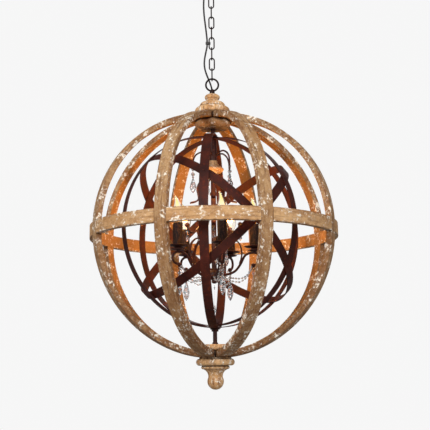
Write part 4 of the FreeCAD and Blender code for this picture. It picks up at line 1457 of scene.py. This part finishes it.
@dataclass
class Studio:
    """The camera at the photograph's angle, the pale paper and the soft light."""

    focal_pixels: float = 890.4148
    frame_pixels: float = 430.0
    sensor: float = 36.0
    distance: float = 2.2422801
    elevation: float = -8.67280
    roll: float = 0.681239
    centre_pixel: tuple[float, float] = (213.87525, 233.526995)
    paper_tone: float = 0.925
    low_glow: float = 0.31
    high_glow: float = 0.38
    glow_bottom: float = -0.7
    glow_top: float = 0.9
    paper_half_width: float = 7.0
    floor_level: float = -2.1
    paper_back: float = 3.0
    paper_bend: float = 1.2
    paper_top: float = 5.0

    def camera(self) -> None:
        """Stands the camera where the photograph was taken from."""
        rise = math.radians(self.elevation)
        spot = Vector((0.0, -self.distance * math.cos(rise), self.distance * math.sin(rise)))
        straight = -spot.normalized()
        right = Vector((1.0, 0.0, 0.0))
        up = right.cross(straight)
        across = (self.centre_pixel[0] - self.frame_pixels / 2) / self.focal_pixels
        above = -(self.centre_pixel[1] - self.frame_pixels / 2) / self.focal_pixels
        turn = math.radians(self.roll)
        aside = across * math.cos(turn) + above * math.sin(turn)
        lift = -across * math.sin(turn) + above * math.cos(turn)
        forward = (straight - right * aside - up * lift).normalized()
        right = (right - forward * right.dot(forward)).normalized()
        up = right.cross(forward)
        tilted_right = right * math.cos(turn) - up * math.sin(turn)
        tilted_up = right * math.sin(turn) + up * math.cos(turn)
        data = bpy.data.cameras.new("photo_camera")
        data.sensor_width = self.sensor
        data.lens = self.sensor * self.focal_pixels / self.frame_pixels
        data.clip_end = 60.0
        camera = bpy.data.objects.new("photo_camera", data)
        basis = Matrix((tilted_right, tilted_up, -forward)).transposed().to_4x4()
        camera.matrix_world = Matrix.Translation(spot + ORB_CENTRE) @ basis
        bpy.context.scene.collection.objects.link(camera)
        bpy.context.scene.camera = camera

    def paper(self) -> None:
        """Lays the pale floor and raises the backdrop behind it."""
        paper = Backdrop("pale_paper", self.paper_tone).material()
        wide, level, back, bend = self.paper_half_width, self.floor_level, self.paper_back, self.paper_bend
        sweep = [(-wide, level), (back, level)]
        for angle in (0.2, 0.5, 0.8, 1.1, 1.4):
            sweep.append((back + bend * math.sin(angle), level + bend * (1 - math.cos(angle))))
        sweep += [(back + bend, level + bend + 0.1), (back + bend, self.paper_top)]
        data = bpy.data.meshes.new("studio_paper")
        corners = [(x, y, z) for y, z in sweep for x in (-wide, wide)]
        faces = [(2 * i, 2 * i + 1, 2 * i + 3, 2 * i + 2) for i in range(len(sweep) - 1)]
        data.from_pydata(corners, [], faces)
        data.materials.append(paper)
        floor = bpy.data.objects.new("studio_paper", data)
        bpy.context.scene.collection.objects.link(floor)
        floor.visible_diffuse = False
        floor.visible_glossy = False

    def sky(self) -> None:
        """Surrounds the orb with an even pale tone that lights it softly, most from above."""
        world = bpy.data.worlds.new("studio_world")
        world.use_nodes = True
        tree = world.node_tree
        background = tree.nodes["Background"]
        background.inputs[0].default_value = (1.0, 1.0, 1.0, 1.0)
        way = tree.nodes.new("ShaderNodeTexCoord")
        parts = tree.nodes.new("ShaderNodeSeparateXYZ")
        glow = tree.nodes.new("ShaderNodeMapRange")
        glow.inputs["From Min"].default_value = self.glow_bottom
        glow.inputs["From Max"].default_value = self.glow_top
        glow.inputs["To Min"].default_value = self.low_glow
        glow.inputs["To Max"].default_value = self.high_glow
        seen = tree.nodes.new("ShaderNodeLightPath")
        either = tree.nodes.new("ShaderNodeMath")
        either.operation = "MAXIMUM"
        chosen = tree.nodes.new("ShaderNodeMix")
        tree.links.new(way.outputs["Generated"], parts.inputs[0])
        tree.links.new(parts.outputs[2], glow.inputs["Value"])
        tree.links.new(seen.outputs["Is Camera Ray"], either.inputs[0])
        tree.links.new(seen.outputs["Is Transmission Ray"], either.inputs[1])
        tree.links.new(either.outputs[0], chosen.inputs[0])
        tree.links.new(glow.outputs[0], chosen.inputs[2])
        chosen.inputs[3].default_value = self.paper_tone
        tree.links.new(chosen.outputs[0], background.inputs[1])
        bpy.context.scene.world = world

    def panel(self, name: str, spot: Point, size: float, power: float) -> None:
        """Hangs a soft square light that looks at the orb.

        Args:
            name: the light's name.
            spot: where it hangs.
            size: its side, in metres.
            power: its power in watts.
        """
        data = bpy.data.lights.new(name, "AREA")
        data.energy = power
        data.size = size
        light = bpy.data.objects.new(name, data)
        light.location = spot
        way = ORB_CENTRE - Vector(spot)
        light.rotation_euler = way.to_track_quat("-Z", "Y").to_euler()
        bpy.context.scene.collection.objects.link(light)

    def build(self) -> None:
        """Sets up the whole studio."""
        self.camera()
        self.paper()
        self.panel("soft_key", (-1.3, -3.0, 0.35), 1.6, 84.0)
        self.panel("soft_fill", (1.9, -2.8, 0.0), 1.8, 40.0)
        self.panel("soft_back", (0.6, 3.0, 1.2), 1.8, 22.0)
        self.sky()
        bpy.context.scene.view_settings.view_transform = "Standard"
        bpy.context.scene.view_settings.look = "None"


def main() -> None:
    """Builds the sub-assemblies in order."""
    logging.basicConfig(level=logging.INFO, format="%(name)s: %(message)s")
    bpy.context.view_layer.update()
    Studio().build()
    Cord().build()
    WoodenOrb().build()
    IronWork().build()
    Candles().build()
    Crystals().build()


if __name__ == "__main__":
    main()
